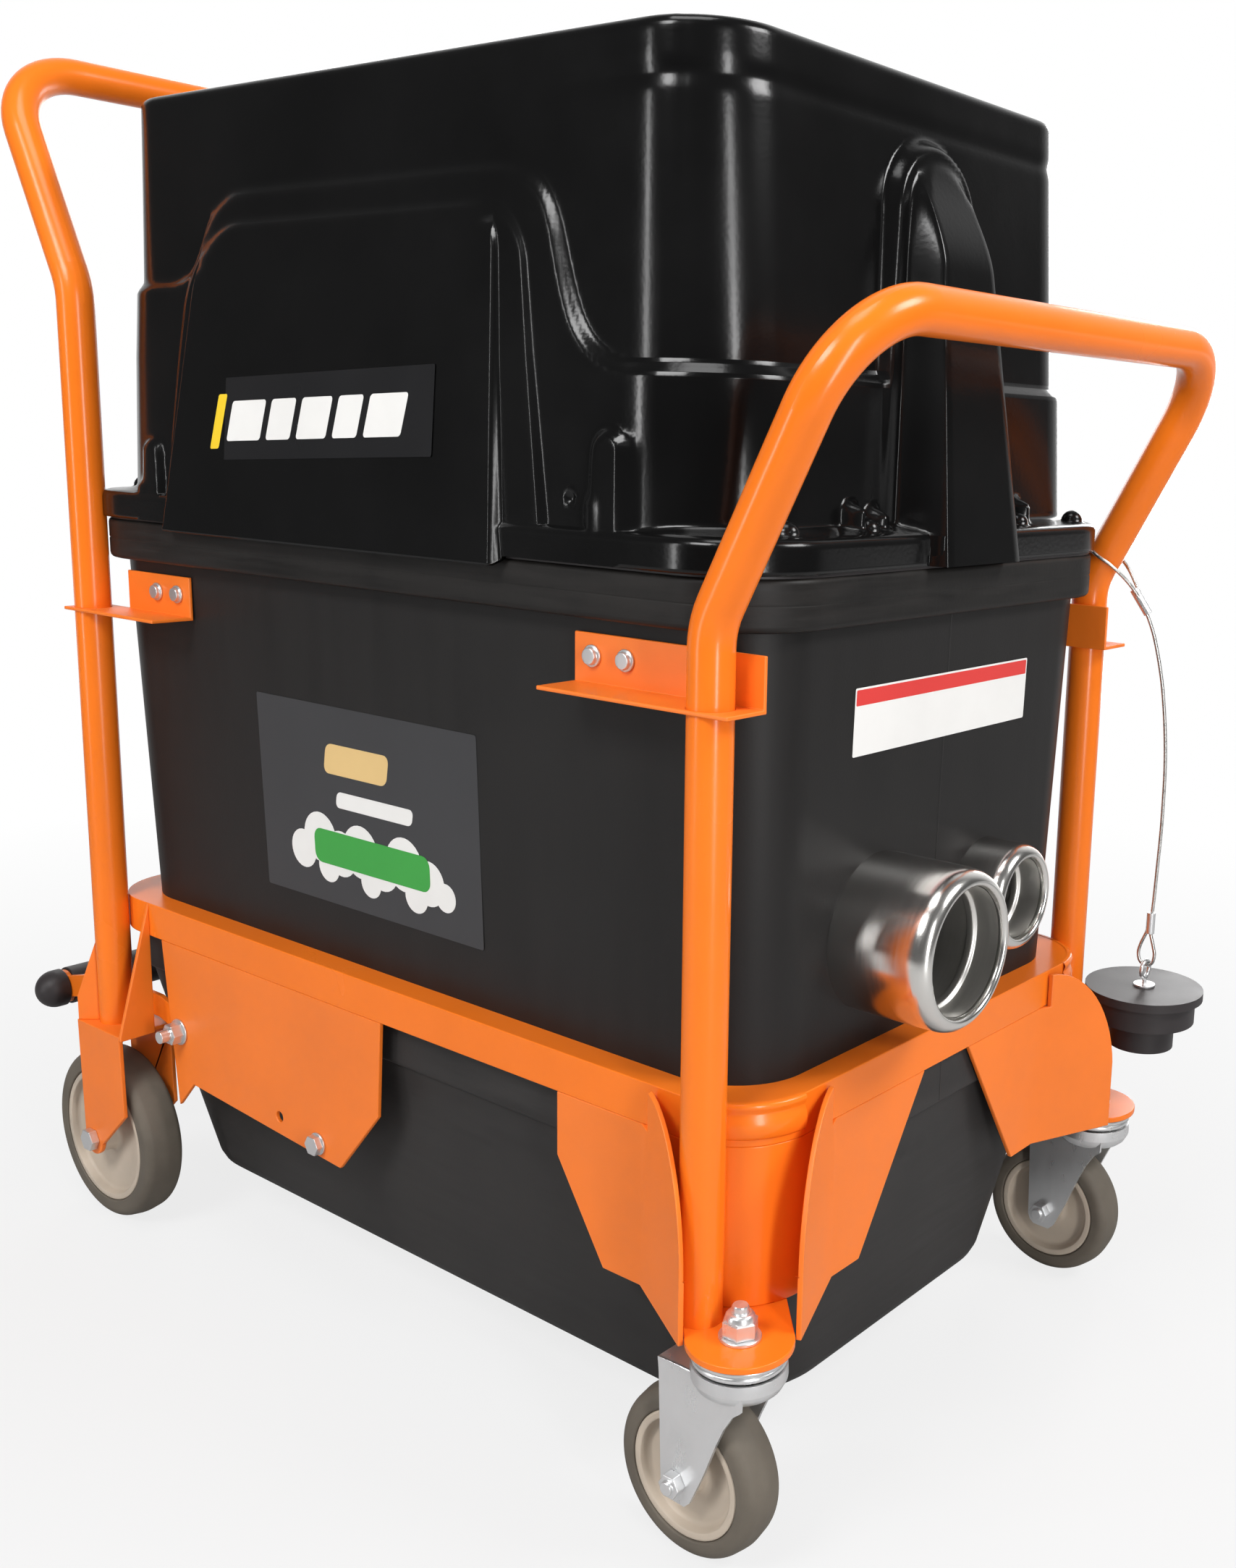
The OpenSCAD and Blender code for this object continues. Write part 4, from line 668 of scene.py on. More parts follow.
def seen_white(tree, path, place, limits):
    """Rays that meet the white surround: it stands behind the object, and the room behind the camera is dim."""
    ahead = tree.nodes.new("ShaderNodeVectorMath")
    ahead.operation = "DOT_PRODUCT"
    wire(tree, place, ahead.inputs[0])
    yaw = bpy.context.scene.dust_stage.camera_yaw
    ahead.inputs[1].default_value = (math.cos(yaw), math.sin(yaw), 0.2)
    behind = range_node(tree, ahead.outputs["Value"], *limits, 0.0, 1.0)
    mirrored = math_node(tree, "MULTIPLY", path.outputs["Is Glossy Ray"], behind)
    return math_node(tree, "MAXIMUM", path.outputs["Is Camera Ray"],
                     math_node(tree, "MAXIMUM", mirrored, path.outputs["Is Transmission Ray"]))


def mix_shaders(tree, factor, first, second, output):
    """Two shaders mixed by a factor, on the surface of an output."""
    both = tree.nodes.new("ShaderNodeMixShader")
    for i, socket in enumerate((factor, first.outputs[0], second.outputs[0])):
        wire(tree, socket, both.inputs[i])
    wire(tree, both.outputs[0], output.inputs["Surface"])


class DUST_OT_stage(bpy.types.Operator):
    """Camera, pale floor, world and soft lamps"""

    bl_idname = "dust.stage"
    bl_label = "Studio Stage"
    # Name, heading in degrees, height, distance, width and height of the lamp, watts, height that it aims at
    lamps = (
        ("front_softbox", -24, 0.85, 2.6, (0.26, 1.6), 28, 0.75),
        ("right_softbox", 96, 1.0, 2.6, (0.5, 1.7), 22, 0.7),
        ("front_fill", 18, 2.3, 2.4, (1.0, 0.8), 48, 0.4),
        ("side_fill", -84, 2.4, 2.3, (1.0, 0.8), 46, 0.4),
        ("left_softbox", -110, 0.9, 2.7, (0.16, 1.6), 16, 0.6),
        ("overhead", -60, 2.9, 0.8, (1.0, 1.0), 18, 0.6),
        ("rear_fill", 140, 1.8, 3.0, (1.6, 1.6), 20, 0.6),
    )
    floor_reach = 9.0

    def execute(self, context):
        stage = context.scene.dust_stage
        context.scene.view_settings.view_transform = "Standard"
        self.camera(context, stage)
        self.floor()
        self.world(context)
        for name, azimuth, height, distance, size, power, aim in self.lamps:
            lamp = bpy.data.lights.new(name, "AREA")
            lamp.shape = "RECTANGLE"
            lamp.size, lamp.size_y = size
            lamp.energy = power * stage.lamp_power
            obj = linked(name, lamp)
            a = math.radians(azimuth)
            obj.location = (distance * math.cos(a), distance * math.sin(a), height)
            toward = Vector((0, 0, aim)) - obj.location
            obj.rotation_euler = toward.to_track_quat("-Z", "Y").to_euler()
        return {"FINISHED"}

    def camera(self, context, stage):
        """Camera at the photograph's place, with the shift that its framing needs."""
        yaw, pitch, roll = stage.camera_yaw, stage.camera_pitch, stage.camera_roll
        ahead = Vector((math.cos(yaw) * math.cos(pitch), math.sin(yaw) * math.cos(pitch), -math.sin(pitch)))
        right = Vector((math.sin(yaw), -math.cos(yaw), 0))
        up = right.cross(ahead)
        across = right * math.cos(roll) + up * math.sin(roll)
        above = up * math.cos(roll) - right * math.sin(roll)
        lens = bpy.data.cameras.new("photo_camera")
        lens.lens = stage.lens
        lens.sensor_width = 36
        lens.shift_x, lens.shift_y = -0.1233, -0.0194
        lens.clip_end = 50
        obj = linked("photo_camera", lens)
        turn = Matrix((across, above, -ahead)).transposed().to_4x4()
        obj.matrix_world = Matrix.Translation(Vector(stage.camera_place)) @ turn
        context.scene.camera = obj

    def floor(self):
        """Pale floor, seen as white around the object's shadow."""
        mesh = bpy.data.meshes.new("studio_floor")
        corners = [(x * self.floor_reach, y * self.floor_reach, 0) for x, y in ((-1, -1), (1, -1), (1, 1), (-1, 1))]
        mesh.from_pydata(corners, [], [(0, 1, 2, 3)])
        obj = linked("studio_floor", mesh)
        material = bpy.data.materials.new("pale_floor")
        material.use_nodes = True
        tree = material.node_tree
        surface = tree.nodes["Principled BSDF"]
        surface.inputs["Roughness"].default_value = 0.7
        surface.inputs["Specular IOR Level"].default_value = 0.1
        coords = object_place(tree)
        tone = noise_node(tree, coords, 1.2, 2.0, 0.5)
        wire(tree, mix_colour(tree, tone, (0.46, 0.46, 0.46), (0.5, 0.5, 0.5)), surface.inputs["Base Color"])
        path = tree.nodes.new("ShaderNodeLightPath")
        seen = seen_white(tree, path, coords, (1.0, 3.0))
        glow = tree.nodes.new("ShaderNodeEmission")
        glow.inputs["Color"].default_value = (1, 1, 1, 1)
        glow.inputs["Strength"].default_value = 1.0
        far = tree.nodes.new("ShaderNodeVectorMath")
        far.operation = "LENGTH"
        wire(tree, coords, far.inputs[0])
        share = range_node(tree, far.outputs["Value"], 0.5, 2.0, 0.8, 1.0)
        mix_shaders(tree, math_node(tree, "MULTIPLY", seen, share), surface, glow, tree.nodes["Material Output"])
        mesh.materials.append(material)

    def world(self, context):
        """Soft light all round, and white where the surround is seen."""
        world = bpy.data.worlds.new("studio_white")
        context.scene.world = world
        world.use_nodes = True
        tree = world.node_tree
        tree.nodes.clear()
        path = tree.nodes.new("ShaderNodeLightPath")
        seen = seen_white(tree, path, tree.nodes.new("ShaderNodeTexCoord").outputs["Generated"], (0.45, 0.85))
        soft = tree.nodes.new("ShaderNodeBackground")
        soft.inputs["Strength"].default_value = 0.11
        white = tree.nodes.new("ShaderNodeBackground")
        for node in (soft, white):
            node.inputs["Color"].default_value = (1, 1, 1, 1)
        mix_shaders(tree, seen, soft, white, tree.nodes.new("ShaderNodeOutputWorld"))


class DUST_OT_rope(bpy.types.Operator):
    """Stranded wire rope with its stopper and eye"""

    bl_idname = "dust.rope"
    bl_label = "Rope and Stopper"
    # The two loops' points are set out from where the rope hooks on the leg and from the stopper's eye
    hook = np.array((375.95, 258.02, 645.0))
    eye = np.array((439.95, 292.02, 304.0))
    loop = (
        (47, 13, -2), (36, 16, 15), (26, 18, 29), (12, 19, 42), (2, 12, 48), (-3, 0, 51), (3, -14, 47),
        (15, -20, 40), (26, -15, 32), (36, -3, 19), (44, 6, 5), (51, 11, -10),
    )
    end = (
        (3, 0, 58), (1, 0, 44), (-2, 0, 34), (-6, 0, 24), (-8, 0, 15), (-6, 0, 7), (0, 0, 4), (6, 0, 7),
        (8, 0, 15), (6, 0, 24), (3, 0, 34), (3, 0, 40),
    )
    diameter = 3.2
    sides = 24
    spacing = 1.3

    def route(self):
        """Points from the upper loop along the hanging rope to the lower loop."""
        start, stop = self.hook + self.loop[-1], self.eye + self.end[0]
        bow = np.array((13, 5.5, 0))
        hang = [start + (stop - start) * t + bow * math.sin(math.pi * t ** 0.75)
                for t in (0.09, 0.25, 0.46, 0.68, 0.86)]
        return [self.hook + p for p in self.loop] + hang + [self.eye + p for p in self.end]

    def execute(self, context):
        path = through(self.route(), 14)
        steps = np.linalg.norm(np.diff(path, axis=0), axis=1)
        along = np.concatenate(([0], np.cumsum(steps)))
        even = np.linspace(0, along[-1], int(along[-1] / self.spacing))
        line = np.column_stack([np.interp(even, along, path[:, i]) for i in range(3)])
        tangent = np.gradient(line, axis=0)
        tangent /= np.linalg.norm(tangent, axis=1)[:, None]
        normal = np.array((0.3, 0.2, 1.0))
        pitch = context.scene.dust_shape.strand_pitch / MM
        rings = []
        for point, ahead, run in zip(line, tangent, even):
            normal = normal - ahead * (normal @ ahead)
            normal /= np.linalg.norm(normal)
            cross = np.cross(ahead, normal)
            ring = []
            for k in range(self.sides):
                a = 2 * math.pi * k / self.sides
                lobe = 0.9 + 0.1 * abs(math.cos(3 * (a - 2 * math.pi * run / pitch)))
                ring.append(point + self.diameter / 2 * lobe * (math.cos(a) * normal + math.sin(a) * cross))
            rings.append(np.array(ring))
        rope = mesh_object("stopper_rope", *loft(rings), look_of("rope"))
        finished(rope, "cart", ["lanyard"], weighted=False)
        eye = softened("stopper_eye", look_of("zinc"), 0.0004)
        plug = rounded_in_place("stopper", look_of("rubber"), 0.0022)
        placed(line[:1])[0]
        placed(line).tolist()
        return {"FINISHED"}


class DUST_OT_hood(bpy.types.Operator):
    """Moulded hood with its ledge, side panels, end towers and foot"""

    bl_idname = "dust.hood"
    bl_label = "Hood"
    shift = 5.0
    # Half length, half width and corner radius
    roof = (344.0, ROOF_HALF_W, 62.0)
    foot = (406.0, 257.0, 73.0)
    level_z = 860.0
    edge_z = 1034.0
    edge_r = 8.0
    foot_z = 690.0
    foot_top = 714.0
    foot_round = 7.0
    tilt = math.tan(math.radians(0.6))
    lean_angle = math.radians(6.8)
    lean = math.tan(lean_angle)
    end_draft = 0.066
    side_draft = 0.024
    corner_steps = 20
    panel_grow = 22.0
    # Half widths at foot and top, and height of the top
    band = (83.0, 58.0, 998.0)
    tower = (60.0, 39.0, 984.0)
    tower_foot = 72.0
    # Hollow for the switches in the rear tower: half width, half height, depth and middle up the tower
    hollow = (36.0, 40.0, 22.0, 170.0)
    # Bosses: middle, top and half width, along X beside a panel and along Y beside a tower
    panel_bosses = ((276, 784, 23), (-275, 765, 20))
    low_bosses = ((265, 745, 17), (-287, 732, 16))
    tower_bosses = ((114, 738, 12), (87, 734, 13))
    # Height of the ledge on the front and the rear wall
    ledge_ends = (821.0, 889.0)
    # Line of the ledge along a side wall, front to rear, in X and Z
    ledge_line = (
        (345, 821), (302, 821), (276, 823), (255, 833), (240, 849), (230, 870), (222, 894), (215, 916), (206, 934),
        (192, 947), (168, 955), (130, 957), (0, 957), (-139, 957), (-168, 952), (-190, 938), (-204, 916),
        (-218, 898), (-240, 890), (-270, 889), (-345, 889),
    )

    def execute(self, context):
        shape = context.scene.dust_shape
        self.ledge = shape.ledge / MM
        self.panel_top = shape.panel_top / MM
        z = np.unique(np.concatenate((
            np.array((683, 685, 687.5, 690, 693, 697, 701, 704, 706)),
            np.linspace(707, 714, 8), np.array((714.3, 714.8, 715.5, 716.5, 718, 720, 722.5, 725)),
            np.arange(728, self.edge_z, 3.0), np.arange(811.5, 832, 3.0), np.arange(926, 966, 3.0),
            np.array((self.edge_z,)))))
        rings = []
        for h in z:
            base, normal = self.columns(h)
            reach = self.reach(base, normal, np.full(len(base), h))
            foot = self.foot_height(base, normal)
            if not rings:
                for inset, lift in ((4.5, 22.0), (4.5, 0.0)):
                    rings.append(self.ring(base, normal, reach - inset, foot + lift))
            rings.append(self.ring(base, normal, reach, np.maximum(foot, h)))
        for a in np.radians(np.linspace(15, 90, 6)):
            rings.append(self.ring(base, normal, reach - self.edge_r * (1 - math.cos(a)),
                                   np.full(len(base), self.edge_z + self.edge_r * math.sin(a))))
        rim = rings[-1]
        middle = np.array((self.shift, 0, rim[:, 2].mean()))
        for share in (0.97, 0.9, 0.78, 0.6, 0.4, 0.2, 0.04):
            ring = middle + (rim - middle) * share
            ring[:, 2] += 2.5 * (1 - share ** 2)
            rings.append(ring)
        hood = mesh_object("moulded_hood", *loft(rings, cap_low=False), look_of("hood"))
        finished(hood, "cart", ["hood"])
        self.caps()
        return {"FINISHED"}

    def columns(self, z):
        """Points and normals of the roof's outline, gathered along the edges of panels and towers at height z."""
        half_l, half_w, radius = self.roof
        turn_l, turn_w = half_l - radius, half_w - radius
        outer, inner = (np.interp(z, (self.foot_z, top - high), (low, high))
                        for low, high, top in (self.band, self.tower))
        right, left = self.panel_sides(z, 0.0)
        right_2, left_2 = self.panel_sides(z, self.panel_grow)
        across = self.spread(
            (-turn_w, -outer - 1, -outer + 10, -inner - 2, -inner + 10, inner - 10, inner + 2, outer - 10, outer + 1,
             turn_w), (30, 8, 9, 9, 12, 9, 9, 8, 30))
        along = self.spread(
            (turn_l, *(x - self.shift for x in (right_2 + 2, right_2 - 9, right + 1, right - 10, left + 10, left - 1,
                                                left_2 + 9, left_2 - 2)), -turn_l),
            (28, 8, 8, 9, 44, 9, 2, 9, 8))
        points, normals = outline_at(across, along, half_l, half_w, radius, self.corner_steps)
        return points + (self.shift, 0), normals

    def spread(self, keys, counts):
        """Even steps between neighbouring keys."""
        parts = [np.linspace(a, b, n, endpoint=False) for a, b, n in zip(keys[:-1], keys[1:], counts)]
        return np.concatenate((*parts, keys[-1:]))

    def ring(self, base, normal, reach, z):
        """One ring of the skin; above the level part it tilts with the roof."""
        flat = base + normal * reach[:, None]
        rise = np.clip((z - self.level_z) / (self.edge_z - self.level_z), 0, 1)
        return np.column_stack((flat, z - self.tilt * (flat[:, 0] - self.shift) * rise))

    def foot_height(self, base, normal):
        """The side panels hang a little over the deck."""
        inside = self.panel_inside(base[:, 0], np.full(len(base), 700.0), 0.0)
        return np.where(np.abs(normal[:, 1]) > 0.9, self.foot_z - 7 * smooth(inside / 8), self.foot_z)

    def foot_reach(self, base, normal):
        """Distance from the roof's outline to the foot's outline."""
        half = np.array(self.foot[:2]) - self.foot[2]
        reach = np.zeros(len(base))
        for _ in range(14):
            q = np.abs(base + normal * reach[:, None]) - half
            away = np.hypot(*np.maximum(q, 0).T) + np.minimum(q.max(axis=1), 0) - self.foot[2]
            reach -= away
        return reach

    def panel_sides(self, z, grow):
        """Front and rear edge of a side panel at height z, grown by a band."""
        right = np.interp(z, (680, 940), (181, 166)) + grow * np.interp(z, (700, 940), (1.9, 1))
        left = np.interp(z, (675, 940), (-254, -203)) - 0.55 * grow
        return right, left

    def panel_inside(self, x, z, grow):
        """Distance inside the outline of a side panel, rounded at its top corners."""
        right, left = self.panel_sides(z, grow)
        beside = np.minimum(right - x, x - left)
        below = self.panel_top + 0.1 * grow - z
        radius = np.where(x < 0, 60.0, 36.0) + 0.6 * grow
        return radius - np.hypot(np.maximum(radius - beside, 0), np.maximum(radius - below, 0))

    def tombstone(self, across, z, low, high, top):
        """Distance inside an upright outline with a round top."""
        turn = top - high
        width = np.interp(z, (self.foot_z, turn), (low, high))
        return np.where(z < turn, width - np.abs(across), high - np.hypot(across, z - turn))

    def reach(self, base, normal, z):
        """How far the skin stands out from the roof's outline at height z."""
        x, y = base[:, 0], base[:, 1]
        side = np.abs(normal[:, 1]) > 0.9
        end = np.abs(normal[:, 0]) > 0.9
        rear = normal[:, 0] < -0.9
        line = through(self.ledge_line, 6)
        away = np.full(len(x), 1e9)
        for a, b in zip(line[:-1], line[1:]):
            run = b - a
            t = np.clip(((x - a[0]) * run[0] + (z - a[1]) * run[1]) / (run @ run), 0, 1)
            away = np.minimum(away, np.hypot(x - a[0] - t * run[0], z - a[1] - t * run[1]))
        edge = np.interp(x, line[::-1, 0], line[::-1, 1])
        level = np.where(x > 0, *self.ledge_ends)
        below = np.where(side, np.where(z < edge, away, -away), level - z)
        draft = (self.end_draft * normal[:, 0] ** 2 + self.side_draft * normal[:, 1] ** 2) * (self.edge_z - z)
        draft = draft - 1.5 * np.exp(-((z - 1006) / 6) ** 2) * smooth((x - 60) / 160)
        step = self.ledge * np.interp(z, (830, 940), (1, 0.6))
        wall = draft + step * smooth(below / 11 + 0.5)
        full = draft + step
        out = wall.copy()
        # Side panel in two steps
        face = panel_face(z)
        for grow, share, lift, width in ((self.panel_grow, 0.3, 1.2, 9.0), (0.0, 1.0, 0.0, 9.0)):
            inside = self.panel_inside(x, z, grow)
            level = full + (face - full) * share + lift
            out = np.where(side, np.maximum(out, wall + (level - wall) * smooth(inside / width)), out)
        # Bosses beside the panel
        for mid, top, half in self.panel_bosses:
            inside = self.tombstone(x - mid, z, half, half - 3, top)
            out = np.where(side, smooth_max(out, wall + 6.5 * smooth(inside / 9), 2.0), out)
        rim = self.foot_reach(base, normal)
        for mid, top, half in self.low_bosses:
            inside = self.tombstone(x - mid, z, half, half - 1, top)
            out = np.where(side, smooth_max(out, wall + (rim - 1.5 - wall) * smooth(inside / 14), 1.5), out)
        # Small dimple ahead of the panel
        out -= np.where(side, 3 * smooth((5 - np.hypot(x - 239, z - 733)) / 2.5), 0)
        # End tower in two steps
        inside = self.tombstone(y, z, *self.band)
        step = np.maximum(wall, 15 + 0.045 * (1000 - z))
        out = np.where(end, out + (step - out) * smooth(inside / 10), out)
        inside = self.tombstone(y, z, *self.tower)
        tower = self.tower_foot - self.lean * (z - self.foot_z)
        crest = smooth((self.tower[2] + 4 - z) / 88) ** 0.8
        out = np.where(end, out + np.maximum(tower - out, 0) * crest * smooth(inside / 10), out)
        half_w, half_h, depth, middle = self.hollow
        up = (z - self.foot_z) / math.cos(self.lean_angle) - middle
        out -= np.where(rear, depth * smooth((half_w - np.abs(y)) / 3) * smooth((half_h - np.abs(up)) / 3), 0)
        # Foot with a rounded rim and small bosses beside the towers
        for mid, top, half in self.tower_bosses:
            inside = self.tombstone(np.abs(y) - mid, z, half, half - 2, top)
            out = np.where(end, np.maximum(out, wall + np.maximum(rim - 16 - wall, 0) * smooth(inside / 8)), out)
        if z[0] <= self.foot_top:
            over = np.clip((z - self.foot_top) / self.foot_round + 1, 0, 1)
            foot = rim - self.foot_round * (1 - np.sqrt(1 - over ** 2))
            out = smooth_max(out, foot, 1.5)
        else:
            fade = (1 - np.clip((z - self.foot_top) / 11, 0, 1)) ** 6
            out = np.maximum(out, out + np.maximum(rim - self.foot_round - out, 0) * fade)
        return out

    def caps(self):
        """Black domed caps over the screws that hold the hood to the deck."""
        parts = []
        low, high = span("deck_screws")
        head = 8.8
        dome = [(9 * math.sin(a), 1.5 + 9 * math.cos(a)) for a in np.radians(np.arange(15, 91, 15))]
        profile = [(0.01, 10.5)] + dome + [(10.5, 0.6), (12, 0), (12, -3), (0.01, -3)]
        for x in (low[0] + head, high[0] - head):
            for y in (-196, -104, 104, 196):
                parts.append(spin(profile, (x, y, self.foot_top), (0, 0, 1), 28, closed=False))
        caps = mesh_object("screw_caps", *join_parts(parts), look_of("hood"))
        finished(caps, "cart", ["deck_screws"])


class DUST_OT_deck(bpy.types.Operator):
    """Sawn plastic deck, and the deck's and bin's seals"""

    bl_idname = "dust.deck"
    bl_label = "Deck"

    def execute(self, context):
        low, high = (corner[2] for corner in span("deck"))
        half_l, half_w, _ = half_size("deck")
        levels = [
            (z, half_l - inset, half_w - inset, 73 - inset)
            for z, inset in ((low, 26), (low, 5), (low + 0.8, 2), (low + 2.5, 0.5), (low + 5, 0), (low + 17, 0),
                             (low + 17.8, 0.5), (low + 18.6, 0.5), (low + 19.4, 0), (high - 4, 0), (high - 1.6, 0.6),
                             (high - 0.4, 2), (high, 4.5), (high, 26))
        ]
        deck = mesh_object("streaked_deck", *loft(box_rings(levels, 20, 24, 14)), look_of("deck"))
        finished(deck, "cart", ["deck"])
        for node in ("deck_seal", "bin_seal"):
            dress(node, look_of("rubber"))
        return {"FINISHED"}


class DUST_OT_tub(bpy.types.Operator):
    """Moulded tub with its port holes and mould lines"""

    bl_idname = "dust.tub"
    bl_label = "Tub"

    def execute(self, context):
        bow = context.scene.dust_shape.tub_bow / MM
        rings = []
        for z in np.concatenate(((TUB_LOW[2], TUB_FOOT - 0.01), np.linspace(TUB_FOOT, TUB_RIM, 20))):
            t = max(0.0, (z - TUB_FOOT) / (TUB_RIM - TUB_FOOT))
            half_l, half_w = tub_wall(z) if z >= TUB_FOOT else (TUB_HALF_L - 1.4, TUB_HALF_W - 1.4)
            points, normal = outline(half_l, half_w, 61 + t, 18, 28, 16)
            swell = bow * math.sin(math.pi * t)
            points[:, 1] += np.where(np.abs(normal[:, 1]) > 0.9,
                                     np.sign(points[:, 1]) * swell * np.cos(points[:, 0] / half_l * math.pi / 2), 0)
            rings.append(np.column_stack((points, np.full(len(points), z))))
        tub = mesh_object("moulded_tub", *loft(rings), look_of("tub"))
        self.open_ports(context, tub)
        finished(tub, "cart", ["tub"])
        mould_lines("tub_mould_lines", np.linspace(TUB_FOOT + 4, TUB_RIM - 1, 12), lambda z: tub_wall(z)[0],
                    (1.2, 0.5, 0.25), "cart", look_of("tub"))
        return {"FINISHED"}

    def open_ports(self, context, tub):
        """Cuts the two port holes through the front wall."""
        depth = 90
        for node in PORT_BORES:
            low, high = span(node)
            radius = half_size(node)[2] - 1.5
            centre = (low[0] - depth + 30, *(low + high)[1:] / 2)
            profile = [(0.001, 0), (radius, 0), (radius, depth), (0.001, depth)]
            cutter = mesh_object("port_cutter", *spin(profile, centre, (1, 0, 0), 96, closed=False), look_of("tub"))
            hole = tub.modifiers.new("port_hole", "BOOLEAN")
            hole.operation = "DIFFERENCE"
            hole.solver = "EXACT"
            hole.object = cutter
            context.view_layer.update()
            cut = bpy.data.meshes.new_from_object(tub.evaluated_get(context.evaluated_depsgraph_get()))
            tub.modifiers.remove(hole)
            tub.data = cut
            bpy.data.objects.remove(cutter)
        tub.data.set_sharp_from_angle(angle=math.radians(35))


class DUST_OT_labels(bpy.types.Operator):
    """Plain labels with generic bars in place of printed ones"""

    bl_idname = "dust.labels"
    bl_label = "Labels"
    thickness = 0.12

    def execute(self, context):
        charcoal = label_material("charcoal_label", (0.045, 0.045, 0.048), 0.42)
        ink = label_material("black_label", (0.012, 0.012, 0.013), 0.3)
        white = label_material("white_label", (0.78, 0.77, 0.75))
        green = label_material("green_label", (0.05, 0.33, 0.06))
        tan = label_material("tan_label", (0.72, 0.5, 0.22))
        red = label_material("red_label", (0.66, 0.05, 0.045))
        yellow = label_material("yellow_label", (0.82, 0.56, 0.03))
        self.side_label(charcoal, white, green, tan)
        self.front_label(white, red)
        self.hood_label(ink, white, yellow)
        return {"FINISHED"}

    def plate(self, name, place, shapes, materials, slot="tub_black"):
        """Thin flat shapes (outline, material index, level) on a surface with this origin and these three ways."""
        origin, across, upward, out = (np.array(v, float) for v in place)
        points, faces, slots = [], [], []
        for shape, index, level in shapes:
            start = len(points)
            count = len(shape)
            for lift in (level, level + self.thickness):
                points += [origin + across * u + upward * v + out * lift for u, v in shape]
            faces.append(tuple(range(start + count, start + 2 * count)))
            slots.append(index)
            for i in range(count):
                j = (i + 1) % count
                faces.append((start + i, start + j, start + count + j, start + count + i))
                slots.append(index)
        mesh = bpy.data.meshes.new(name)
        mesh.from_pydata([tuple(p) for p in placed(points)], [], faces)
        for material in materials:
            mesh.materials.append(material)
        mesh.polygons.foreach_set("material_index", slots)
        finished(linked(name, mesh), "cart", weighted=False)

    def rectangle(self, u0, u1, v0, v1, radius=2.0, slant=0.0):
        """Rounded rectangle, leaning over by slant."""
        points, _ = outline((u1 - u0) / 2, (v1 - v0) / 2, radius, 5)
        points += np.array(((u0 + u1) / 2, (v0 + v1) / 2))
        points[:, 0] += slant * (points[:, 1] - v0)
        return points

    def puff(self, u, v, radius):
        """A round puff of dust."""
        angles = np.radians(np.arange(0, 360, 12))
        return np.column_stack((u + radius * np.cos(angles), v + radius * np.sin(angles)))

    def side_label(self, charcoal, white, green, tan):
        """Charcoal sheet with plain puffs of dust and two bars, on the right side wall."""
        z = 464.0
        slope = TUB_GAIN_W / (TUB_RIM - TUB_FOOT)
        centre = (-19.5, -tub_wall(z)[1] - 0.7, z)
        shapes = [(self.rectangle(-141, 141, -86, 86), 0, 0.4)]
        for u, v, r in ((-86, -44, 17), (-62, -30, 22), (-34, -40, 20), (-8, -34, 23), (20, -42, 20), (48, -34, 23),
                        (78, -44, 19), (98, -52, 12), (-52, -54, 14), (4, -58, 13), (62, -58, 14)):
            shapes.append((self.puff(u, v, r), 1, 0.55 + 0.001 * len(shapes)))
        shapes.append((self.rectangle(-70, 80, -52, -22, 9), 2, 0.72))
        shapes.append((self.rectangle(-52, 30, 28, 54, 7, 0.2), 3, 0.55))
        shapes.append((self.rectangle(-38, 60, 0, 14, 5, 0.2), 1, 0.6))
        self.plate("side_label", (centre, (1, 0, 0), unit((0, -slope, 1)), (0, -1, -slope)), shapes,
                   [charcoal, white, green, tan])

    def front_label(self, white, red):
        """Blank white label with a red band, on the front wall."""
        z = 581.0
        slope = TUB_GAIN_L / (TUB_RIM - TUB_FOOT)
        shapes = [(self.rectangle(-121, 121, -25, 25, 1.5), 0, 0.25),
                  (self.rectangle(-119.5, 119.5, 12, 23.5, 1.0), 1, 0.38)]
        centre = (tub_wall(z)[0], 0, z)
        self.plate("front_label", (centre, (0, 1, 0), unit((slope, 0, 1)), (1, 0, -slope)), shapes, [white, red])

    def hood_label(self, ink, white, yellow):
        """Black label with plain slanted bars, on the right side panel."""
        z = 784.0
        shapes = [(self.rectangle(-166, 140, -33, 33, 1.5), 0, 0.25),
                  (self.rectangle(-141, -129, -24, 20, 2, 0.25), 2, 0.38)]
        for u, w in ((-118, 46), (-64, 32), (-24, 38), (22, 30), (60, 44)):
            shapes.append((self.rectangle(u, u + w, -18, 14, 3, 0.25), 1, 0.38))
        centre = (-33, -ROOF_HALF_W - panel_face(z), z)
        self.plate("hood_label", (centre, (1, 0, 0.04), unit((0, PANEL_SLOPE, 1)), (0, -1, PANEL_SLOPE)), shapes,
                   [ink, white, yellow], slot="hood_black")


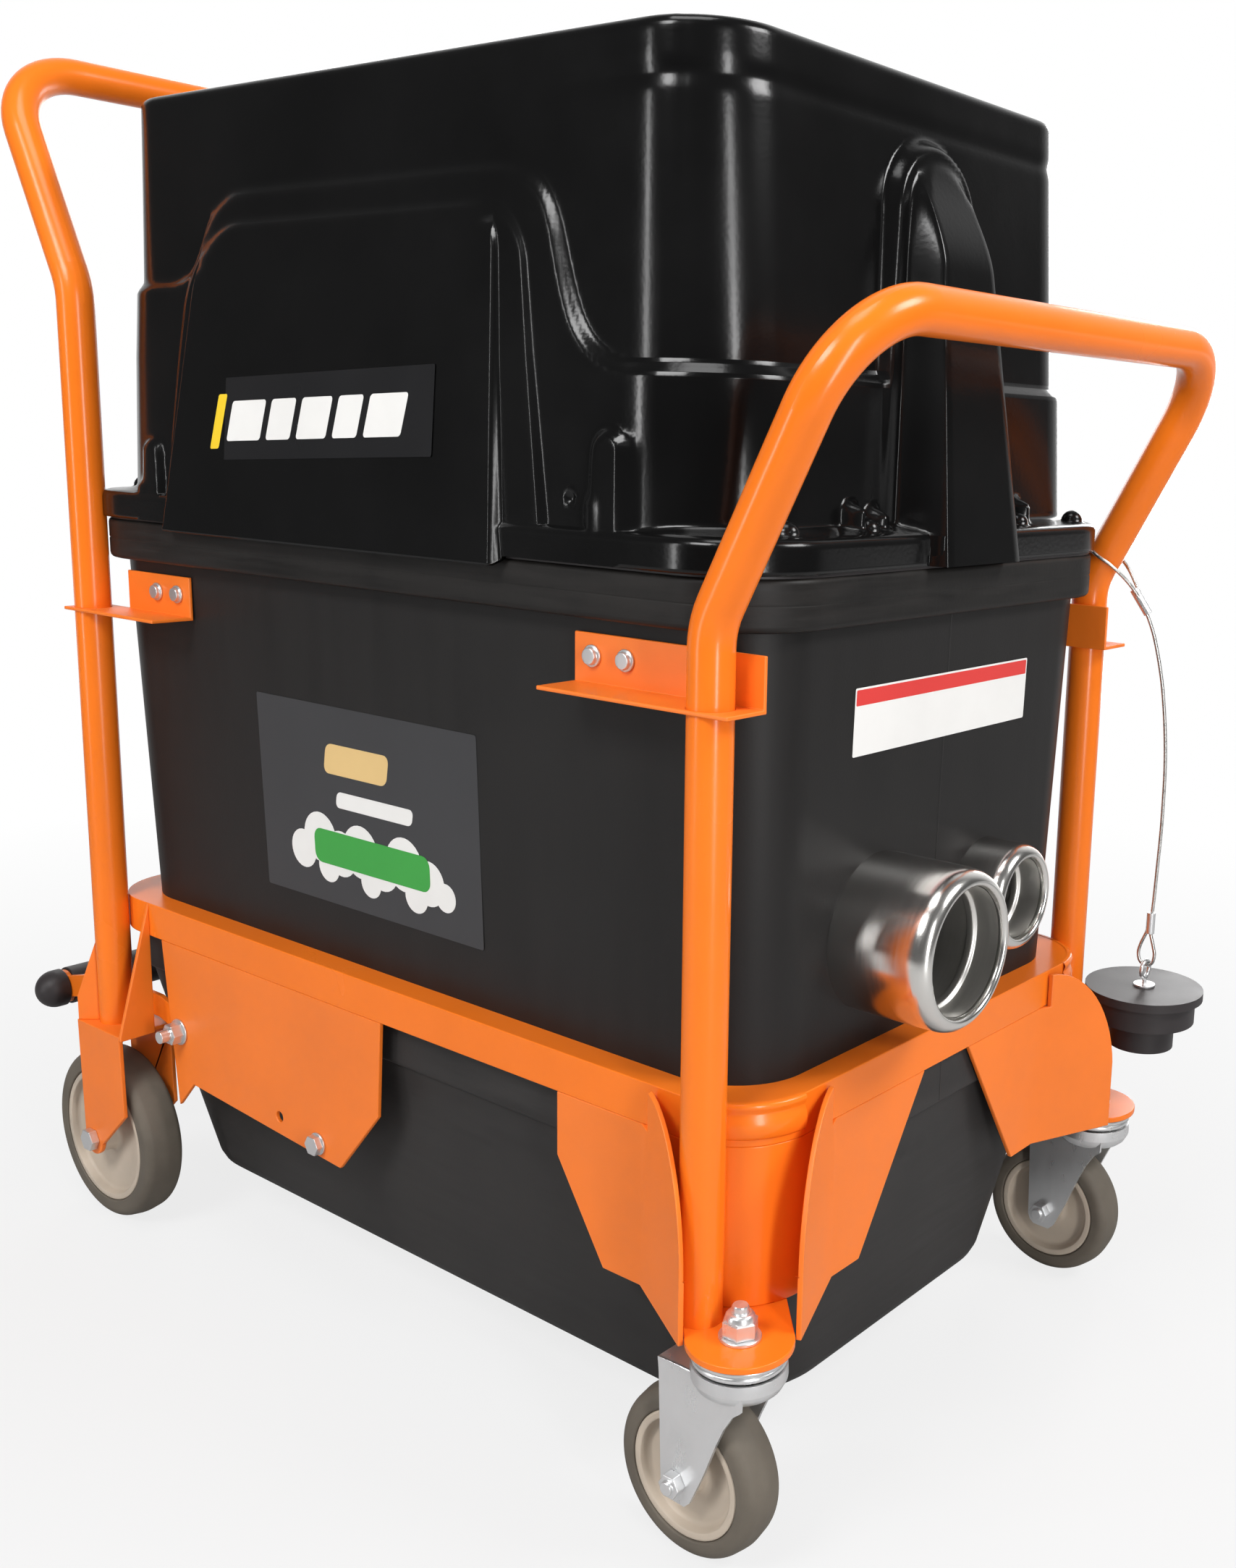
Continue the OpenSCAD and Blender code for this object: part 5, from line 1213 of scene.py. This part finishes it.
class DUST_OT_bin(bpy.types.Operator):
    """Moulded dust bin with its rim"""

    bl_idname = "dust.bin"
    bl_label = "Dust Bin"

    def execute(self, context):
        low, high = (corner[2] for corner in span("dust_bin"))
        # Outside from the floor up to the rim, over its lip, and down inside to the floor again
        rim = 257.0
        rim_l, rim_w, _ = half_size("dust_bin")
        levels = [(low, 330, 160, 55), (low, 348, 179, 72), (low + 1.2, 355, 186, 79), (low + 4, 361, 192, 84),
                  (low + 8, 365.5, 196.5, 87.5), (low + 14, 368.5, 199.5, 89.6)]
        for t in np.linspace(0, 1, 12):
            levels.append((low + 16 + (rim - low - 18) * t, 369 + 28.2 * t, 200 + 28.8 * t, 90 - 35.5 * t))
        levels += [(rim - 0.8, rim_l - 4, rim_w - 3.2, 54), (rim, rim_l - 1.6, rim_w - 1.6, 54.4),
                   (rim + 1.6, rim_l - 0.4, rim_w - 0.4, 54.5), (rim + 4, rim_l, rim_w, 54.5)]
        for t in np.linspace(0.1, 0.9, 5):
            levels.append((rim + 4 + (high - rim - 8) * t, rim_l, rim_w, 54.5))
        levels += [(high - 3, rim_l, rim_w, 54.5), (high - 0.8, rim_l - 1, rim_w - 1, 53.5),
                   (high, rim_l - 3, rim_w - 3, 52), (high, rim_l - 10, rim_w - 10, 45),
                   (high - 60, rim_l - 10, rim_w - 10, 45)]
        for t in np.linspace(0, 1, 6):
            levels.append((rim - 4 - (rim - low - 24) * t, 392 - 28 * t, 224 - 28 * t, 50 + 34 * t))
        levels.append((low + 5, 350, 180, 72))
        bin_shell = mesh_object("moulded_bin", *loft(box_rings(levels, 18, 20, 14)), look_of("bin"))
        finished(bin_shell, "bin", ["dust_bin"])
        mould_lines("bin_mould_lines", np.linspace(rim + 3, high - 4, 6), lambda z: rim_l, (1.4, 0.6, 0.3), "bin",
                    look_of("bin"))
        return {"FINISHED"}


class DUST_OT_cart(bpy.types.Operator):
    """Painted tube handles, ring, plates and brackets"""

    bl_idname = "dust.cart"
    bl_label = "Cart Frame"
    ring_corner = 63.5

    def execute(self, context):
        paint = look_of("paint")
        edge = context.scene.dust_shape.edge_round
        for node in ("front_handle", "rear_handle"):
            dress(node, paint)
        for node in ("base_ring", "corner_backs", "caster_plates"):
            softened(node, paint, edge)
        flat = look_of("plate")
        for node in ("front_brackets", "rear_brackets", "side_wings", "front_wings", "side_plate_l", "side_plate_r",
                     "rear_fork_l", "rear_fork_r", "rear_gussets"):
            softened(node, flat, edge)
        self.corner_beads(paint)
        return {"FINISHED"}

    def corner_beads(self, paint):
        """Two rolled beads round each front corner of the ring."""
        _, high = span("base_ring")
        r, top = self.ring_corner, high[2]
        profile = [(-3, 0.3), (0, 0.2), (1.5, -0.8), (2.2, -2.5), (1.8, -4.5), (0.7, -7), (0.6, -8.5), (1.6, -11),
                   (2.8, -15), (3.0, -20), (2.2, -24.5), (0.7, -26.6), (-1.5, -27)]
        n, steps = len(profile), 28
        parts = []
        for s in (-1, 1):
            turn = np.array((high[0] - r, s * (high[1] - r)))
            points = []
            for a in np.radians(np.linspace(3, 87, steps + 1)):
                out = np.array((math.cos(a), s * math.sin(a)))
                points += [(*(turn + out * (r + reach)), top + drop) for reach, drop in profile]
            faces = [(i * n + j, i * n + j + 1, (i + 1) * n + j + 1, (i + 1) * n + j)
                     for i in range(steps) for j in range(n - 1)]
            parts.append((points, faces))
        finished(mesh_object("ring_corner_beads", *join_parts(parts), paint), "cart")


class DUST_OT_wheels(bpy.types.Operator):
    """Grey tyres on beige dished hubs"""

    bl_idname = "dust.wheels"
    bl_label = "Wheels"

    def execute(self, context):
        for kind, bore in (("caster", 5.05), ("rear", 6.05)):
            for side in ("l", "r"):
                centre = sum(span(f"{kind}_tyre_{side}")) / 2
                _, half, radius = half_size(f"{kind}_tyre_{side}")
                _, boss, seat = half_size(f"{kind}_hub_{side}")
                body = f"{kind}_wheel_{side}"
                for name, profile, look, slot, node in (
                    ("rubber", self.tyre(radius, half, seat), "tyre", "tyre_grey", "tyre"),
                    ("disc", self.hub(seat, half, bore, boss), "hub", "hub_beige", "hub"),
                ):
                    turned = spin(profile, centre, (0, 1, 0), 96)
                    part = mesh_object(f"{kind}_{name}_{side}", *turned, look_of(look))
                    finished(part, body, [f"{kind}_{node}_{side}"])
        return {"FINISHED"}

    def tyre(self, radius, half, seat):
        """Crowned tread with round shoulders and a small bead at the hub."""
        right = (
            [(seat + 0.1, half - 1.2), (seat + 0.8, half - 0.3), (seat + 2.0, half)]
            + arc(radius - 10.4, half - 9, 9, 90, 12) + [(radius - 0.8, half - 12), (radius - 0.2, half - 16)]
        )
        return right + [(radius, 0)] + [(r, -h) for r, h in reversed(right)]

    def hub(self, seat, half, bore, boss):
        """Rim, dished web and boss, the same on both faces."""
        face = (
            [(seat, 0), (seat, half - 2.2), (seat - 0.8, half - 1.2), (seat - 2.0, half - 1)]
            + [(seat - 5.0, half - 1), (seat - 6.2, half - 1.6)]
            + [(seat - 7.4, half - 6.0), (seat - 8.6, half - 8.0), (seat - 11, half - 8.8)]
            + [(seat * 0.55, half - 9.6), (bore + 15, half - 10.2), (bore + 11.5, half - 9.4), (bore + 9.6, half - 7)]
            + [(bore + 8.8, boss - 1), (bore + 8, boss), (bore + 0.8, boss), (bore, boss - 0.8)]
        )
        return face + [(r, -h) for r, h in reversed(face[1:])]


class DUST_OT_casters(bpy.types.Operator):
    """Zinc caster forks, races, axles and all bolts"""

    bl_idname = "dust.casters"
    bl_label = "Casters and Bolts"

    def execute(self, context):
        zinc = look_of("zinc")
        for side in ("l", "r"):
            self.fork(side, zinc)
            softened(f"caster_axle_{side}", zinc, 0.0007, f"caster_{side}")
        for node in ("rear_axles", "side_bolts", "bracket_screws"):
            softened(node, zinc, 0.0007)
        self.races(zinc)
        self.kingpins(zinc)
        return {"FINISHED"}

    def fork(self, side, zinc):
        """Pressed fork: two cheeks, a round-nosed top plate and a short skirt under the race."""
        low, high = span(f"caster_fork_{side}")
        nose_r, back, half_w, sheet = 34.0, -52.0, 25.5, 3.0
        x, y = high[0] - nose_r, (low[1] + high[1]) / 2
        top, bottom = high[2] - 6.6, low[2]
        cheek = [(back, top), (-51, top - 12), (-48, bottom + 9), (-46, bottom + 4), (-42, bottom + 0.5),
                 (-26, bottom), (-21, bottom + 5), (-9, bottom + 32), (1, bottom + 58), (8, bottom + 74),
                 (16, bottom + 87), (22, bottom + 92), (22.5, top)]
        nose = [(nose_r * math.cos(a), nose_r * math.sin(a)) for a in np.radians(np.linspace(-131, 131, 40))]
        plate = [(back, -half_w)] + nose + [(back, half_w)]
        parts = [prism([(x + u, v) for u, v in cheek], y + y0, y + y0 + sheet, True)
                 for y0 in (-half_w, half_w - sheet)]
        parts.append(prism([(x + u, y + v) for u, v in plate], top - sheet, top, False))
        parts.append(spin([(33.6, 6), (34, 0), (33.6, -4), (31, -9), (27.5, -12), (26.5, -10.5), (30, -7), (31.8, -3),
                           (31.6, 6)], (x, y, top), (0, 0, 1), 64))
        fork = mesh_object(f"pressed_fork_{side}", *join_parts(parts), zinc)
        rounded(fork, 0.0008, 2)
        finished(fork, f"caster_{side}", [f"caster_fork_{side}"])

    def kingpins(self, zinc):
        """Kingpin with a washer, a hexagon nut with a domed collar and the stud's end."""
        low, high = span("kingpins")
        x, across = (low[0] + high[0]) / 2, (high[1] - low[1]) / 2 - 12.6
        seat = span("caster_plates")[1][2]
        pin = [(0.01, low[2]), (11, low[2]), (12, low[2] + 1), (12, low[2] + 7), (6, low[2] + 7), (6, seat + 23),
               (5.2, seat + 24.4), (0.01, seat + 25)]
        washer = [(5.9, 0), (14.6, 0), (15, 0.4), (15, 2.1), (14.6, 2.5), (5.9, 2.5)]
        collar = [(5.9, 14), (10.6, 14), (10.2, 17), (8.6, 18.8), (7.2, 19.2), (5.9, 18.8)]
        nut = [(5.9, 2.5), (12, 2.5), (13, 3.3), (13, 13.2), (11.4, 14.4), (5.9, 14.4)]
        parts = []
        for y in (-across, across):
            parts.append(spin(pin, (x, y, 0), (0, 0, 1), 32, closed=False))
            parts += [spin(shape, (x, y, seat), (0, 0, 1), steps)
                      for shape, steps in ((washer, 40), (collar, 40), (nut, 6))]
        pins = mesh_object("kingpin_bolts", *join_parts(parts), zinc)
        pins.data.set_sharp_from_angle(angle=math.radians(35))
        finished(pins, "cart", ["kingpins"])

    def races(self, zinc):
        """Two rolled rings over each caster fork."""
        low, high = span("caster_races")
        radius, height = (high[0] - low[0]) / 2, high[2] - low[2]
        across = (high[1] - low[1]) / 2 - radius
        profile = []
        for base, r in ((0.0, radius - 1.5), (height / 2, radius)):
            profile += arc(r - height / 4, base + height / 4, height / 4, -80, 80)
        profile = [(6.1, 0)] + profile + [(6.1, height)]
        x = (low[0] + high[0]) / 2
        parts = [spin(profile, (x, y, low[2]), (0, 0, 1), 64) for y in (-across, across)]
        finished(mesh_object("rolled_races", *join_parts(parts), zinc), "cart", ["caster_races"])


class DUST_OT_ports(bpy.types.Operator):
    """Polished ports with a broad lip and a brushed bore"""

    bl_idname = "dust.ports"
    bl_label = "Hose Ports"

    def execute(self, context):
        linings = []
        for node, inner in PORT_BORES.items():
            low, high = span(node)
            mouth = (high[0], *(low + high)[1:] / 2)
            depth = high[0] - low[0]
            wall = spin(self.tube(half_size(node)[2], inner, depth), mouth, (1, 0, 0), 120)
            finished(mesh_object(node + "_tube", *wall, look_of("stainless")), "cart", [node])
            r = inner - 0.3
            linings.append(spin([(r, -6), (r, -24), (r - 0.8, -25), (r - 2.6, -25.6), (r - 3.2, -27), (r - 3.2, -31),
                                 (r - 2.6, -32.4), (r - 0.8, -33), (r, -34), (r, -depth - 10)],
                                mouth, (1, 0, 0), 96, closed=False))
        finished(mesh_object("port_bores", *join_parts(linings), look_of("bore")), "cart")
        return {"FINISHED"}

    def tube(self, radius, inner, depth):
        """Wall of a port with a broad lip, from its root to the mouth and back."""
        lip = radius - inner
        outside = [(radius, -depth), (radius, -1.7 * lip), (radius - 0.15, -1.5 * lip), (radius - 0.05, -1.35 * lip)]
        for a in np.radians(np.arange(10, 91, 10)):
            outside.append((inner + 0.22 * lip + 0.78 * lip * math.cos(a), -1.2 * lip + 1.2 * lip * math.sin(a)))
        return outside + [(inner + 0.1 * lip, -0.06 * lip), (inner + 0.02 * lip, -0.22 * lip), (inner, -0.4 * lip),
                          (inner, -depth)]


class DUST_OT_lift(bpy.types.Operator):
    """Lift lever with its rubber grip"""

    bl_idname = "dust.lift"
    bl_label = "Lift Lever"

    def execute(self, context):
        softened("lift_bail", look_of("paint"), 0.0007, "bail")
        softened("bail_grip", look_of("rubber"), 0.001, "bail", 3)
        return {"FINISHED"}


class DUST_OT_suction(bpy.types.Operator):
    """Motors, fans, filters, switches and power inlet"""

    bl_idname = "dust.suction"
    bl_label = "Suction Parts"

    def execute(self, context):
        for finish, nodes in (
            ("zinc", ("motor_front", "motor_rear", "bearings", "impeller_front", "impeller_rear")),
            ("copper", ("rotor_front", "rotor_rear")),
            ("paper", ("filter_front", "filter_rear")),
            ("rubber", ("motor_gaskets", "filter_caps")),
        ):
            for node in nodes:
                dress(node, look_of(finish))
        softened("switch_plate", look_of("hood"), 0.0006)
        softened("power_inlet", look_of("rubber"), 0.0005)
        for side in ("l", "r"):
            softened(f"rocker_{side}", look_of("switch"), 0.0006, f"rocker_{side}")
        return {"FINISHED"}


class DUST_PT_panel(bpy.types.Panel):
    """Lists the pieces in the order they are built"""

    bl_idname = "DUST_PT_panel"
    bl_label = "Dust Collector"
    bl_space_type = "VIEW_3D"
    bl_region_type = "UI"
    bl_category = "Dust Collector"

    def draw(self, context):
        for settings in (context.scene.dust_stage, context.scene.dust_shape, context.scene.dust_finish):
            column = self.layout.column(align=True)
            for name in settings.__annotations__:
                column.prop(settings, name)
        for operator in OPERATORS:
            self.layout.operator(operator.bl_idname)


OPERATORS = (
    DUST_OT_stage, DUST_OT_rope, DUST_OT_hood, DUST_OT_deck, DUST_OT_tub, DUST_OT_labels, DUST_OT_bin, DUST_OT_cart,
    DUST_OT_wheels, DUST_OT_casters, DUST_OT_ports, DUST_OT_lift, DUST_OT_suction,
)
SETTINGS = (
    ("dust_finish", DustFinishSettings), ("dust_shape", DustShapeSettings), ("dust_stage", DustStageSettings),
)


def register():
    for name, group in SETTINGS:
        bpy.utils.register_class(group)
        setattr(bpy.types.Scene, name, PointerProperty(type=group))
    for item in (*OPERATORS, DUST_PT_panel):
        bpy.utils.register_class(item)


def unregister():
    for item in reversed((*OPERATORS, DUST_PT_panel)):
        bpy.utils.unregister_class(item)
    for name, group in reversed(SETTINGS):
        delattr(bpy.types.Scene, name)
        bpy.utils.unregister_class(group)


def main():
    register()
    for operator in OPERATORS:
        group, name = operator.bl_idname.split(".")
        getattr(getattr(bpy.ops, group), name)()


if __name__ == "__main__":
    main()
